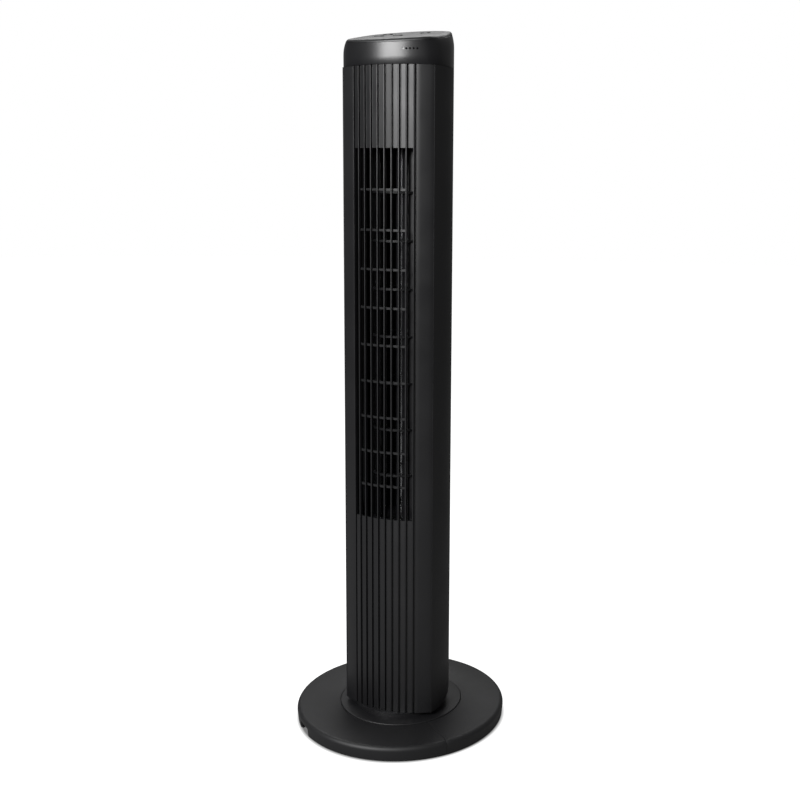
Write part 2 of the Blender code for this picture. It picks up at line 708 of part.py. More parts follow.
def build_retainer():
    """Ring screwed to the neck from below, so the column can't lift off the hub plate."""
    top = hub_bottom - RUN - FIT
    bottom = top - RETAINER_THICKNESS
    outer = circle_points(NECK_RADIUS + RETAINER_LIP, 24)
    bore = circle_points(NECK_RADIUS - NECK_WALL, 24)
    ring = add_object("neck_retainer", prism_mesh(outer, bottom, top, bore),
                      colour=(0.50, 0.50, 0.52), roughness=0.4, metallic=1.0)
    pieces = [ring]
    for i in range(3):
        centre = neck_screw_place(i)
        cut(ring, cylinder(f"retainer_hole_{i + 1}", NECK_SCREW_RADIUS + FIT, bottom - 0.01, top + 0.01,
                           centre, sides=8))
        head_top = bottom - FIT
        head_face = head_top - NECK_SCREW_HEAD_HEIGHT
        tip = top + NECK_SCREW_BITE
        profile = [(0.0, head_face), (NECK_SCREW_HEAD_RADIUS, head_face),
                   (NECK_SCREW_HEAD_RADIUS, head_top), (NECK_SCREW_RADIUS, head_top),
                   (NECK_SCREW_RADIUS, tip), (0.0, tip)]
        place = Matrix.Translation((centre[0], centre[1], 0.0))
        pieces.append(add_screw(f"retainer_screw_{i + 1}", profile, place))
    return pieces


# ---------------------------------------------------------------- front panel

def bar_level(share):
    """Height of a bar centre, share 0 at the window top and 1 at its bottom."""
    straight = window_top + (window_bottom - window_top) * share
    return straight - BAR_CROWD * share * (1 - share)


def panel_columns():
    """Cells across the front: (kind, start angle, end angle, strip number)."""
    pitch = GROOVE_PITCH / FRONT_RADIUS
    groove = GROOVE_WIDTH / FRONT_RADIUS
    fin = FIN_WIDTH / FRONT_RADIUS
    edge = front_half_angle(0.0, 0.0) - FIT / 2 / FRONT_RADIUS
    first = -pitch * STRIPS / 2
    columns = []
    for i in range(3):
        start = -edge + (first - groove / 2 + edge) * i / 3
        end = -edge + (first - groove / 2 + edge) * (i + 1) / 3
        columns.append(("border", start, end, -1))
    for strip in range(STRIPS + 1):
        centre = first + pitch * strip
        columns.append(("groove", centre - groove / 2, centre + groove / 2, strip))
        if strip < STRIPS:
            end = centre + pitch - groove / 2
            columns.append(("strip", centre + groove / 2, end - fin, strip))
            columns.append(("fin", end - fin, end, strip))
    start = first + pitch * STRIPS + groove / 2
    for i in range(3):
        columns.append(("border", start + (edge - start) * i / 3, start + (edge - start) * (i + 1) / 3, -1))
    return columns


def build_front_panel():
    columns = panel_columns()
    angles = [column[1] for column in columns] + [columns[-1][2]]
    levels = [column_bottom, window_bottom]
    for bar in range(WINDOW_BARS, 0, -1):
        centre = bar_level(bar / (WINDOW_BARS + 1))
        levels += [centre - BAR_HEIGHT / 2, centre + BAR_HEIGHT / 2]
    levels += [window_top, SEAM_HEIGHT - FIT]
    depths = [0.0, FIN_PROUD, FIN_PROUD + STRIP_DEPTH, panel_depth]
    last = len(angles) - 1

    def place(i, j, k):
        x, y = front_point(angles[i], 0.0)
        if i in (0, last):
            towards = Vector((-x, -WIDEST_AHEAD - y)).normalized()
        else:
            towards = Vector((-math.sin(angles[i]), math.cos(angles[i])))
        return (x + towards.x * depths[k], y + towards.y * depths[k], levels[j])

    def filled(i, j, k):
        kind, _, _, strip = columns[i]
        in_window = 1 <= j <= 2 * WINDOW_BARS + 1
        is_bar = in_window and j % 2 == 0
        if kind == "fin":
            return True
        if kind == "groove":
            open_here = in_window and (strip == STRIPS - 1 or not is_bar)
            return k == 2 and (strip in (0, STRIPS) or not open_here)
        if kind == "strip":
            if k == 0:
                return False
            if not in_window:
                return True
            return is_bar and 0 < strip < STRIPS - 1
        return k > 0

    shape = cell_mesh(place, filled, (len(columns), len(levels) - 1, 3))
    merge_flat_faces(shape)
    return add_object("front_panel", shape, colour=(0.020, 0.020, 0.022), roughness=0.42)


# ---------------------------------------------------------------- rear housing

def housing_stations():
    """Points along the housing from the right front edge round the back to the left one."""
    corner = corner_angle(0.0, 0.0) + FIT / COLUMN_HALF_WIDTH
    stations = []
    side_steps = 3
    for i in range(side_steps):
        angle = corner + (math.pi / 2 - corner) * i / side_steps
        stations.append(("side", angle, False))
    stations += [("rear", x, slot) for x, slot in rear_stations()]
    for i in range(side_steps - 1, -1, -1):
        angle = corner + (math.pi / 2 - corner) * i / side_steps
        stations.append(("side", -angle, False))
    return stations


def build_rear_housing():
    stations = housing_stations()
    row_pitch = (grille_top - grille_bottom) / SLOT_ROWS
    levels = []
    for i in range(4):
        levels.append(column_bottom + TUCK_HEIGHT * i / 3)
    first_row = len(levels)
    for row in range(SLOT_ROWS):
        bottom = grille_bottom + row_pitch * row
        levels += [bottom + SLOT_BRIDGE / 2, bottom + row_pitch - SLOT_BRIDGE / 2]
    levels.append(SEAM_HEIGHT - FIT)

    def place(i, j, k):
        kind, value, _ = stations[i]
        share = max(0.0, 1 - (levels[j] - column_bottom) / TUCK_HEIGHT)
        tuck = TUCK_DEPTH * share ** 2
        if kind == "side":
            blend = (abs(value) - corner_angle(0.0, 0.0)) / (math.pi / 2 - corner_angle(0.0, 0.0))
            x, y = side_point(value, WALL * k + tuck * max(0.0, blend))
        else:
            x, y = rear_point(value, WALL * k + tuck)
        return (x, y, levels[j])

    def filled(i, j, k):
        in_row = first_row <= j < first_row + 2 * SLOT_ROWS and (j - first_row) % 2 == 0
        return not (stations[i][2] and in_row)

    shape = cell_mesh(place, filled, (len(stations) - 1, len(levels) - 1, 1))
    merge_flat_faces(shape)
    housing = add_object("rear_housing", shape, colour=(0.020, 0.020, 0.022), roughness=0.5)
    grip = box_mesh((-GRIP_WIDTH / 2, 0.0, grip_level - GRIP_HEIGHT / 2),
                    (GRIP_WIDTH / 2, 0.2, grip_level + GRIP_HEIGHT / 2))
    cut(housing, add_object("grip_opening", grip))
    for number, (x, z) in enumerate(housing_screw_places()):
        hole = level_cylinder(screw_hole_radius, x, 0.02, 0.2, z)
        cut(housing, add_object(f"housing_hole_{number + 1}", hole))
    return housing


def level_cylinder(radius, x, start_y, end_y, z, sides=12):
    """Cylinder that lies along Y."""
    shape = bmesh.new()
    bmesh.ops.create_cone(shape, cap_ends=True, segments=sides, radius1=radius, radius2=radius,
                          depth=end_y - start_y)
    bmesh.ops.rotate(shape, verts=shape.verts, cent=(0, 0, 0), matrix=Matrix.Rotation(math.pi / 2, 3, "X"))
    bmesh.ops.translate(shape, verts=shape.verts, vec=(x, (start_y + end_y) / 2, z))
    return shape


def housing_screw_places():
    places = []
    for z in (motor_plate_top - TAB_HEIGHT / 2, bearing_plate_bottom + TAB_HEIGHT / 2):
        for side in (-1, 1):
            places.append((side * TAB_SPACING / 2, z))
    return places


def build_housing_screws():
    screws = []
    for number, (x, z) in enumerate(housing_screw_places()):
        _, y = rear_point(abs(x) - SCREW_HEAD_RADIUS, 0.0)
        tip = tab_face_y() - HOUSING_SCREW_BITE
        head = y + FIT
        profile = [(0.0, head + SCREW_HEAD_HEIGHT), (0.7 * SCREW_HEAD_RADIUS, head + SCREW_HEAD_HEIGHT),
                   (SCREW_HEAD_RADIUS, head + 0.4 * SCREW_HEAD_HEIGHT), (SCREW_HEAD_RADIUS, head),
                   (SCREW_RADIUS, head), (SCREW_RADIUS, tip), (0.0, tip)]
        place = Matrix.Translation((x, 0.0, z)) @ Matrix.Rotation(-math.pi / 2, 4, "X")
        screws.append(add_screw(f"housing_screw_{number + 1}", profile, place))
    return screws


def tab_face_y():
    """The rear faces of the tabs lie just inside the housing wall, measured at their outer edges."""
    _, y = rear_point((TAB_SPACING + TAB_WIDTH) / 2, WALL + FIT)
    return y - TAB_CLEAR


def build_grip_cup():
    """Moulded pocket behind the grip opening, open to the rear."""
    front = tab_face_y() - GRIP_DEPTH
    half_width = GRIP_WIDTH / 2 + GRIP_WALL + GRIP_SIDE
    half_height = GRIP_HEIGHT / 2 + GRIP_WALL + GRIP_SHELF
    low = grip_level - half_height
    high = grip_level + half_height
    outline = [(half_width, front), (half_width, front + GRIP_WALL)]
    steps = 8
    for i in range(steps + 1):
        x = half_width * (1 - 2 * i / steps)
        outline.append((x, rear_point(x * COLUMN_HALF_WIDTH / (COLUMN_HALF_WIDTH - WALL - FIT),
                                         WALL + FIT)[1]))
    outline += [(-half_width, front + GRIP_WALL), (-half_width, front)]
    cup = add_object("grip_cup", prism_mesh(outline, low, high), colour=(0.014, 0.014, 0.015),
                     roughness=0.6)
    inner_x = GRIP_WIDTH / 2 + GRIP_SHELF
    inner_z = GRIP_HEIGHT / 2 + GRIP_SHELF
    pocket = box_mesh((-inner_x, front + GRIP_WALL, grip_level - inner_z),
                      (inner_x, 0.2, grip_level + inner_z))
    cut(cup, add_object("grip_pocket", pocket))
    return cup


# ---------------------------------------------------------------- plates, motor and impeller

def build_cross_plate(name, bottom, top, tab_low, tab_high, bore):
    """Plate across the inside of the column, with two screw tabs at the back."""
    outline = column_outline(panel_depth + FIT, WALL + FIT)
    plate = add_object(name, prism_mesh(outline, bottom, top), colour=(0.05, 0.05, 0.055), roughness=0.5)
    cut(plate, cylinder(f"{name}_bore", bore, bottom - 0.01, top + 0.01,
                        (0.0, IMPELLER_BEHIND), sides=32))
    face = tab_face_y()
    for side in (-1, 1):
        x = side * TAB_SPACING / 2
        block = box_mesh((x - TAB_WIDTH / 2, face - TAB_DEPTH, tab_low),
                         (x + TAB_WIDTH / 2, face, tab_high))
        join(plate, add_object(f"{name}_tab_{side + 2}", block))
        z = tab_low + TAB_HEIGHT / 2 if tab_low < bottom else tab_high - TAB_HEIGHT / 2
        hole = level_cylinder(screw_hole_radius, x, face - HOUSING_SCREW_BITE - 2 * FIT, face + 0.01, z)
        cut(plate, add_object(f"{name}_pilot_{side + 2}", hole))
    return plate


def build_fan_motor():
    """Motor can under the motor plate, with a recess for the end of the impeller shaft."""
    top = motor_plate_top - PLATE_THICKNESS - FIT
    bottom = top - MOTOR_HEIGHT
    recess = SHAFT_RADIUS + RUN
    floor = top - SHAFT_SEAT - SHAFT_END_GAP
    boss_top = top + PLATE_THICKNESS / 2
    profile = [(recess, floor), (recess, boss_top), (MOTOR_BOSS_RADIUS, boss_top), (MOTOR_BOSS_RADIUS, top),
               (MOTOR_RADIUS - MOTOR_EDGE, top), (MOTOR_RADIUS, top - MOTOR_EDGE),
               (MOTOR_RADIUS, bottom + MOTOR_EDGE), (MOTOR_RADIUS - MOTOR_EDGE, bottom),
               (0.0, bottom), (0.0, floor)]
    shape = turned_mesh(profile, 24)
    bmesh.ops.remove_doubles(shape, verts=shape.verts, dist=1e-6)
    bmesh.ops.translate(shape, verts=shape.verts, vec=impeller_axis)
    return add_object("fan_motor", shape, colour=(0.50, 0.50, 0.52), roughness=0.35, metallic=1.0)


def build_impeller(pivot):
    """Cross-flow rotor: rings joined by upright blades, with a solid disc at each end."""
    blade_angle = 2 * math.pi / BLADE_COUNT
    angles = []
    for i in range(BLADE_COUNT):
        angles += [blade_angle * i, blade_angle * (i + BLADE_SHARE)]
    section = (impeller_top - impeller_bottom - RING_HEIGHT) / IMPELLER_SECTIONS
    levels = []
    for i in range(IMPELLER_SECTIONS + 1):
        levels += [impeller_bottom + section * i, impeller_bottom + section * i + RING_HEIGHT]
    radii = [SHAFT_RADIUS + FIT, IMPELLER_RADIUS - BLADE_DEPTH, IMPELLER_RADIUS]
    top_cell = len(levels) - 2

    def place(i, j, k):
        angle = angles[i]
        return (radii[k] * math.cos(angle), IMPELLER_BEHIND + radii[k] * math.sin(angle), levels[j])

    def filled(i, j, k):
        if j % 2 == 1:
            return k == 1 and i % 2 == 0
        return k == 1 or j in (0, top_cell)

    shape = cell_mesh(place, filled, (len(angles), len(levels) - 1, 2), closed=True)
    rotor = add_object("impeller", shape, colour=(0.03, 0.03, 0.032), roughness=0.4, origin=impeller_axis)
    shaft_low = motor_plate_top - PLATE_THICKNESS - FIT - SHAFT_SEAT
    shaft_high = bearing_plate_bottom + PLATE_THICKNESS + SHAFT_TAIL
    shaft = cylinder("impeller_shaft", SHAFT_RADIUS, shaft_low, shaft_high, (0.0, IMPELLER_BEHIND),
                     sides=20, colour=(0.62, 0.62, 0.64), roughness=0.25, metallic=1.0)
    attach(rotor, pivot)
    attach(shaft, pivot)


def build_top_bearing():
    bottom = bearing_plate_bottom - BUSH_PROUD
    top = bearing_plate_bottom + PLATE_THICKNESS + BUSH_PROUD
    outer = circle_points(BUSH_RADIUS, 24, (0.0, IMPELLER_BEHIND))
    bore = circle_points(SHAFT_RADIUS + RUN, 24, (0.0, IMPELLER_BEHIND))
    return add_object("top_bearing", prism_mesh(outer, bottom, top, bore),
                      colour=(0.55, 0.38, 0.16), roughness=0.4, metallic=1.0)


def guide_mesh(start, end, start_radius, end_radius, steps):
    """Upright curved sheet round the impeller, between the two cross plates."""
    points_out = []
    points_in = []
    for i in range(steps + 1):
        share = i / steps
        angle = start + (end - start) * share
        radius = start_radius + (end_radius - start_radius) * share
        for points, r in ((points_out, radius + GUIDE_THICKNESS), (points_in, radius)):
            x, y = turn_vector(r, angle)
            points.append((x, y + IMPELLER_BEHIND))
    outline = points_out + list(reversed(points_in))
    return prism_mesh(outline, motor_plate_top + FIT, bearing_plate_bottom - FIT)


def build_guides():
    clear = IMPELLER_RADIUS + GUIDE_CLEAR
    scroll = guide_mesh(*SCROLL_TURN, clear + SCROLL_SPREAD, clear, 12)
    tongue = guide_mesh(*TONGUE_TURN, clear + TONGUE_SPREAD[0], clear + TONGUE_SPREAD[1], 4)
    made = [add_object("scroll_guide", scroll, colour=(0.03, 0.03, 0.032), roughness=0.5)]
    made.append(add_object("tongue_guide", tongue, colour=(0.03, 0.03, 0.032), roughness=0.5))
    return made


def build_swing_motor():
    bottom = foot_plate_top + FIT
    motor = cylinder("swing_motor", SWING_MOTOR_RADIUS, bottom, bottom + SWING_MOTOR_HEIGHT,
                     (0.0, gear_distance), sides=28, colour=(0.60, 0.60, 0.62), roughness=0.35,
                     metallic=1.0)
    cut(motor, cylinder("swing_motor_bore", PINION_SHAFT_RADIUS + RUN, bottom - 0.01,
                        bottom + PINION_SHAFT_SEAT + 0.002, (0.0, gear_distance), sides=12))
    return motor


# ---------------------------------------------------------------- head

def head_height(y, drop=0.0):
    """Height of the sloping top at a distance behind the axis."""
    return cover_top + math.tan(HEAD_SLOPE) * y - drop


def shoulder(outline, drop):
    """Draw the sides of an outline in, the more the nearer it lies to the sloping top."""
    rise = max(0.0, 1 - drop / SHOULDER_DROP)
    pull = SHOULDER_WIDTH * (1 - math.sqrt(1 - rise ** 2))
    points = []
    for x, y in outline:
        share = max(0.0, (abs(x) - shoulder_start) / (COLUMN_HALF_WIDTH - shoulder_start))
        points.append((x - math.copysign(pull * share ** SHOULDER_EASE, x), y))
    return points


def build_head_shell():
    outer = column_outline(FIN_PROUD, 0.0, corner_reach=CORNER_REACH)
    inner = column_outline(FIN_PROUD + WALL, WALL, corner_reach=CORNER_REACH)
    shape = bmesh.new()
    top_drop = COVER_THICKNESS + FIT
    drops = [SHOULDER_DROP + (top_drop - SHOULDER_DROP) * i / SHOULDER_STEPS
             for i in range(SHOULDER_STEPS + 1)]
    outside = [[(x, y, SEAM_HEIGHT) for x, y in outer]]
    outside += [[(x, y, head_height(y, drop)) for x, y in shoulder(outer, drop)] for drop in drops]
    inside = [[(x, y, SEAM_HEIGHT) for x, y in inner]]
    inside += [[(x, y, head_height(y, drop)) for x, y in shoulder(inner, drop)] for drop in drops]
    rings = [[shape.verts.new(point) for point in ring] for ring in outside + inside[::-1]]
    count = len(outer)
    for r, low in enumerate(rings):
        high = rings[(r + 1) % len(rings)]
        for i in range(count):
            j = (i + 1) % count
            shape.faces.new((low[i], low[j], high[j], high[i]))
    shell = add_object("head_shell", shape, colour=(0.022, 0.022, 0.024), roughness=0.42)
    for number, x in enumerate(lamp_places()):
        y = lamp_face_y(x)
        hole = level_cylinder(LAMP_RADIUS, x, y - 0.01, y + 0.01, lamp_height)
        cut(shell, add_object(f"lamp_hole_{number + 1}", hole))
    return shell


def lamp_places():
    return [LAMP_CENTRE_X + LAMP_PITCH * (i - (LAMP_COUNT - 1) / 2) for i in range(LAMP_COUNT)]


def lamp_face_y(x):
    radius = FRONT_RADIUS - FIN_PROUD
    return front_centre_y - math.sqrt(radius ** 2 - x ** 2)


def build_lamp_guide():
    """Clear bar behind the front of the head with a pin in each of the five holes."""
    lamps = lamp_places()
    back = lamp_face_y(lamps[-1]) + WALL + LAMP_GUIDE_DEPTH
    edge = LAMP_GUIDE_EDGE
    front_edge = []
    for x in (lamps[0] - edge, lamps[0], lamps[2], lamps[-1], lamps[-1] + edge):
        radius = FRONT_RADIUS - FIN_PROUD - WALL - FIT
        front_edge.append((x, front_centre_y - math.sqrt(radius ** 2 - x ** 2)))
    outline = front_edge + [(lamps[-1] + edge, back), (lamps[0] - edge, back)]
    shape = prism_mesh(outline, lamp_height - edge, lamp_height + edge)
    guide = add_object("lamp_guide", shape, colour=(0.02, 0.02, 0.02), roughness=0.15)
    for number, x in enumerate(lamps):
        y = lamp_face_y(x)
        pin = level_cylinder(LAMP_RADIUS - FIT, x, y - LAMP_PROUD, y + WALL + 0.002, lamp_height)
        join(guide, add_object(f"lamp_pin_{number + 1}", pin))
    return guide


def cover_frame():
    """Frame on the sloping top: local Z is its normal and local Y runs up the slope."""
    return Matrix.Translation((0.0, 0.0, cover_top)) @ Matrix.Rotation(HEAD_SLOPE, 4, "X")


def on_cover(x, y):
    """Plan position to a position in the cover frame."""
    return (x, y / math.cos(HEAD_SLOPE))


BUTTONS = {
    "button_power": (-0.0290, -0.0121),
    "button_speed": (-0.0295, 0.0176),
    "button_swing": (-0.0006, -0.0115),
    "button_timer": (0.0258, 0.0197),
}
RECEIVER = (0.0026, 0.0279)


def rounded_rectangle(length, width, centre, steps=4):
    radius = width / 2
    points = []
    for side in (1, -1):
        for i in range(steps + 1):
            angle = -math.pi / 2 + math.pi * i / steps if side > 0 else math.pi / 2 + math.pi * i / steps
            x = centre[0] + side * (length / 2 - radius) + radius * math.cos(angle)
            points.append((x, centre[1] + radius * math.sin(angle)))
    return points


def build_top_cover():
    outer = column_outline(FIN_PROUD, 0.0, corner_reach=CORNER_REACH)
    inner = column_outline(FIN_PROUD + COVER_EDGE, COVER_EDGE, corner_reach=CORNER_REACH)
    shape = bmesh.new()
    low, middle, high = [
        [shape.verts.new((x, y, head_height(y, drop))) for x, y in shoulder(outline, drop)]
        for outline, drop in ((outer, COVER_THICKNESS), (outer, 0.6 * COVER_EDGE), (inner, 0.0))]
    count = len(outer)
    for i in range(count):
        j = (i + 1) % count
        shape.faces.new((low[i], low[j], middle[j], middle[i]))
        shape.faces.new((middle[i], middle[j], high[j], high[i]))
    shape.faces.new(list(reversed(low)))
    shape.faces.new(high)
    cover = add_object("top_cover", shape, colour=(0.030, 0.030, 0.032), roughness=0.45)
    for name, (x, y) in BUTTONS.items():
        hole = prism_mesh(rounded_rectangle(BUTTON_LENGTH, BUTTON_WIDTH, on_cover(x, y)), -0.02, 0.02)
        bmesh.ops.transform(hole, matrix=cover_frame(), verts=hole.verts)
        cut(cover, add_object(f"hole_{name}", hole))
    hole = prism_mesh(circle_points(RECEIVER_RADIUS, 16, on_cover(*RECEIVER)), -0.02, 0.02)
    bmesh.ops.transform(hole, matrix=cover_frame(), verts=hole.verts)
    cut(cover, add_object("receiver_hole", hole))
    return cover


def build_buttons(turning_column):
    depth = COVER_THICKNESS * math.cos(HEAD_SLOPE)
    for name, (x, y) in BUTTONS.items():
        centre = on_cover(x, y)
        low = -depth - FIT - BUTTON_FLANGE
        outline = rounded_rectangle(BUTTON_LENGTH - 2 * FIT, BUTTON_WIDTH - 2 * FIT, centre)
        shape = prism_mesh(outline, low + BUTTON_FLANGE / 2, BUTTON_PROUD)
        rim = rounded_rectangle(BUTTON_LENGTH + BUTTON_LIP, BUTTON_WIDTH + BUTTON_LIP, centre)
        flange = prism_mesh(rim, low, low + BUTTON_FLANGE)
        frame = cover_frame()
        origin = frame @ Vector((centre[0], centre[1], 0.0))
        bmesh.ops.transform(shape, matrix=frame, verts=shape.verts)
        bmesh.ops.transform(flange, matrix=frame, verts=flange.verts)
        button = add_object(name, shape, colour=(0.028, 0.028, 0.030), roughness=0.4, origin=origin)
        tool = add_object(f"flange_{name}", flange, origin=origin)
        join(button, tool)
        attach(tool, turning_column)
        attach(button, turning_column)


def build_receiver():
    depth = COVER_THICKNESS * math.cos(HEAD_SLOPE)
    rim = circle_points(RECEIVER_RADIUS - FIT, 16, on_cover(*RECEIVER))
    shape = prism_mesh(rim, -depth - RECEIVER_TAIL, 0.0)
    bmesh.ops.transform(shape, matrix=cover_frame(), verts=shape.verts)
    return add_object("receiver_lens", shape, colour=(0.01, 0.006, 0.008), roughness=0.08)


def build_control_board():
    """Circuit board under the cover with one push switch under each button."""
    top = -board_drop
    outline = [(-BOARD_LENGTH / 2, -BOARD_WIDTH / 2), (BOARD_LENGTH / 2, -BOARD_WIDTH / 2),
               (BOARD_LENGTH / 2, BOARD_WIDTH / 2), (-BOARD_LENGTH / 2, BOARD_WIDTH / 2)]
    shape = prism_mesh([(x, y + BOARD_BACK) for x, y in outline], top - BOARD_THICKNESS, top)
    bmesh.ops.transform(shape, matrix=cover_frame(), verts=shape.verts)
    board = add_object("control_board", shape, colour=(0.02, 0.09, 0.04), roughness=0.5)
    flange_low = -COVER_THICKNESS * math.cos(HEAD_SLOPE) - FIT - BUTTON_FLANGE
    switch_top = flange_low - BUTTON_TRAVEL - FIT
    for name, (x, y) in BUTTONS.items():
        cx, cy = on_cover(x, y)
        half = SWITCH_SIZE / 2
        switch = box_mesh((cx - half, cy - half, top - BOARD_THICKNESS / 2),
                          (cx + half, cy + half, switch_top))
        bmesh.ops.transform(switch, matrix=cover_frame(), verts=switch.verts)
        join(board, add_object(f"switch_{name}", switch))
    return board


def board_post_places():
    return [(sx * (BOARD_LENGTH / 2 - BOARD_INSET), BOARD_BACK + sy * (BOARD_WIDTH / 2 - BOARD_INSET))
            for sx in (-1, 1) for sy in (-1, 1)]


def add_cover_posts(cover):
    """Four posts on the underside of the cover that the board is fixed to."""
    depth = COVER_THICKNESS * math.cos(HEAD_SLOPE)
    for number, centre in enumerate(board_post_places()):
        post = prism_mesh(circle_points(POST_RADIUS, 12, centre), -board_drop + FIT, -depth / 2)
        bmesh.ops.transform(post, matrix=cover_frame(), verts=post.verts)
        join(cover, add_object(f"board_post_{number + 1}", post))


# ---------------------------------------------------------------- assembly

def main():
    clear_scene()
    build_base_half("base_half_front", BASE_TURN)
    build_base_half("base_half_rear", BASE_TURN + math.pi)
    build_feet()
    build_cord_gland(BASE_TURN + math.pi)
    build_hub_plate()
    build_hub_screws()
    build_washer()

    turning_column = add_empty("column_axis", (0.0, 0.0, column_bottom))
    pinion_pivot = add_empty("pinion_axis", (0.0, gear_distance, hub_top))
    build_gears(turning_column, pinion_pivot)

    cover = build_top_cover()
    add_cover_posts(cover)
    fixed_in_column = [
        build_foot_plate(),
        build_front_panel(),
        build_rear_housing(),
        build_grip_cup(),
        build_cross_plate("motor_plate", motor_plate_top - PLATE_THICKNESS, motor_plate_top,
                          motor_plate_top - TAB_HEIGHT, motor_plate_top - PLATE_THICKNESS / 2,
                          MOTOR_BOSS_RADIUS + RUN),
        build_cross_plate("bearing_plate", bearing_plate_bottom, bearing_plate_bottom + PLATE_THICKNESS,
                          bearing_plate_bottom + PLATE_THICKNESS / 2, bearing_plate_bottom + TAB_HEIGHT,
                          BUSH_RADIUS + FIT),
        build_fan_motor(),
        build_top_bearing(),
        build_swing_motor(),
        build_head_shell(),
        build_lamp_guide(),
        cover,
        build_receiver(),
        build_control_board(),
    ]
    fixed_in_column += build_retainer()
    fixed_in_column += build_guides()
    fixed_in_column += build_housing_screws()
    for piece in fixed_in_column:
        attach(piece, turning_column)

    impeller_pivot = add_empty("impeller_axis", impeller_axis, turning_column)
    build_impeller(impeller_pivot)
    build_buttons(turning_column)


main()
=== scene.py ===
"""Visible pieces, finishes and studio for an oscillating tower fan.

Laid out as a Blender add-on: sizes and colours are scene properties, each piece has its own
operator, and a panel in the 3D view's sidebar lists them. Units are metres, +Z is up and the
fan blows towards -Y.
"""

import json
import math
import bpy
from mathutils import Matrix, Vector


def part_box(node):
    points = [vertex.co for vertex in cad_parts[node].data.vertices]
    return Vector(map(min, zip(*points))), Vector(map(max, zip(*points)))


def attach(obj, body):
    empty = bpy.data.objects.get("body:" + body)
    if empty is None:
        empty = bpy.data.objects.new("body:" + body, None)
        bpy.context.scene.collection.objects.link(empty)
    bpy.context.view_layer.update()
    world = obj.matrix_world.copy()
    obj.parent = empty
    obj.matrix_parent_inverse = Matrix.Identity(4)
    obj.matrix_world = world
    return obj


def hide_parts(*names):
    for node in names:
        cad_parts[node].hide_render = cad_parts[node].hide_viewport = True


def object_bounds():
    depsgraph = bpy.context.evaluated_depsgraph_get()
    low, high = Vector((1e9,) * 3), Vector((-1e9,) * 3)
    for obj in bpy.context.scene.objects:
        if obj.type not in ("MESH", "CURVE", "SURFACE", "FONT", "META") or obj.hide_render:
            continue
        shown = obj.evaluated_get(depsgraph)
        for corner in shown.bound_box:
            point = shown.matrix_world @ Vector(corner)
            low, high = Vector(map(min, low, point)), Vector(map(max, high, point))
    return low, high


bl_info = {
    "name": "Tower Fan",
    "version": (1, 0, 0),
    "blender": (4, 5, 0),
    "location": "View3D > Sidebar > Tower Fan",
    "description": "Models the visible pieces, finishes and studio of an oscillating tower fan",
    "category": "Add Mesh",
}

import bmesh
import bpy
from bpy.props import FloatProperty, FloatVectorProperty, IntProperty, PointerProperty
from mathutils import Matrix, Vector

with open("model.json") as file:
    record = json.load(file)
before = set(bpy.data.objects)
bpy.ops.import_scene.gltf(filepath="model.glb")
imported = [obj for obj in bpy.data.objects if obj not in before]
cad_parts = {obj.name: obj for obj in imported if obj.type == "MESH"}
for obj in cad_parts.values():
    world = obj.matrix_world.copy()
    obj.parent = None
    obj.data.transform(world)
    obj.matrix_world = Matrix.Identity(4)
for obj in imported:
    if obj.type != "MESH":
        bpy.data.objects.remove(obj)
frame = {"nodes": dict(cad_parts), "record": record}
CAD_BOX = [list(corner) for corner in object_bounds()]
PANEL_LOW, PANEL_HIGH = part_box("front_panel")
HOUSING_LOW, HOUSING_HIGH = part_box("rear_housing")
HUB_LOW, HUB_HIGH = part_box("hub_plate")
BASE_LOW, BASE_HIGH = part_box("base_half_front")
IMPELLER_LOW, IMPELLER_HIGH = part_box("impeller")
GRIP_LOW, GRIP_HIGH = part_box("grip_cup")
BASE_RADIUS = CAD_BOX[1][0]
HUB_RADIUS = HUB_HIGH.x
GAP = 0.0003                 # between pieces that touch
RUN = 0.0006                 # between pieces that slide or turn past each other


# ---------------------------------------------------------------- sizes and colours

def length(name, description, default):
    return FloatProperty(name=name, description=description, default=default, min=0.0,
                         unit="LENGTH", precision=4)


def count(name, description, default):
    return IntProperty(name=name, description=description, default=default, min=1)


def from_hex(code):
    """Linear RGB of an sRGB colour written as six hex digits."""
    channels = [int(code[i:i + 2], 16) / 255 for i in (0, 2, 4)]
    return tuple(c / 12.92 if c <= 0.04045 else ((c + 0.055) / 1.055) ** 2.4 for c in channels)


def colour(name, description, code):
    return FloatVectorProperty(name=name, description=description, default=from_hex(code),
                               subtype="COLOR", size=3, min=0.0, max=1.0)


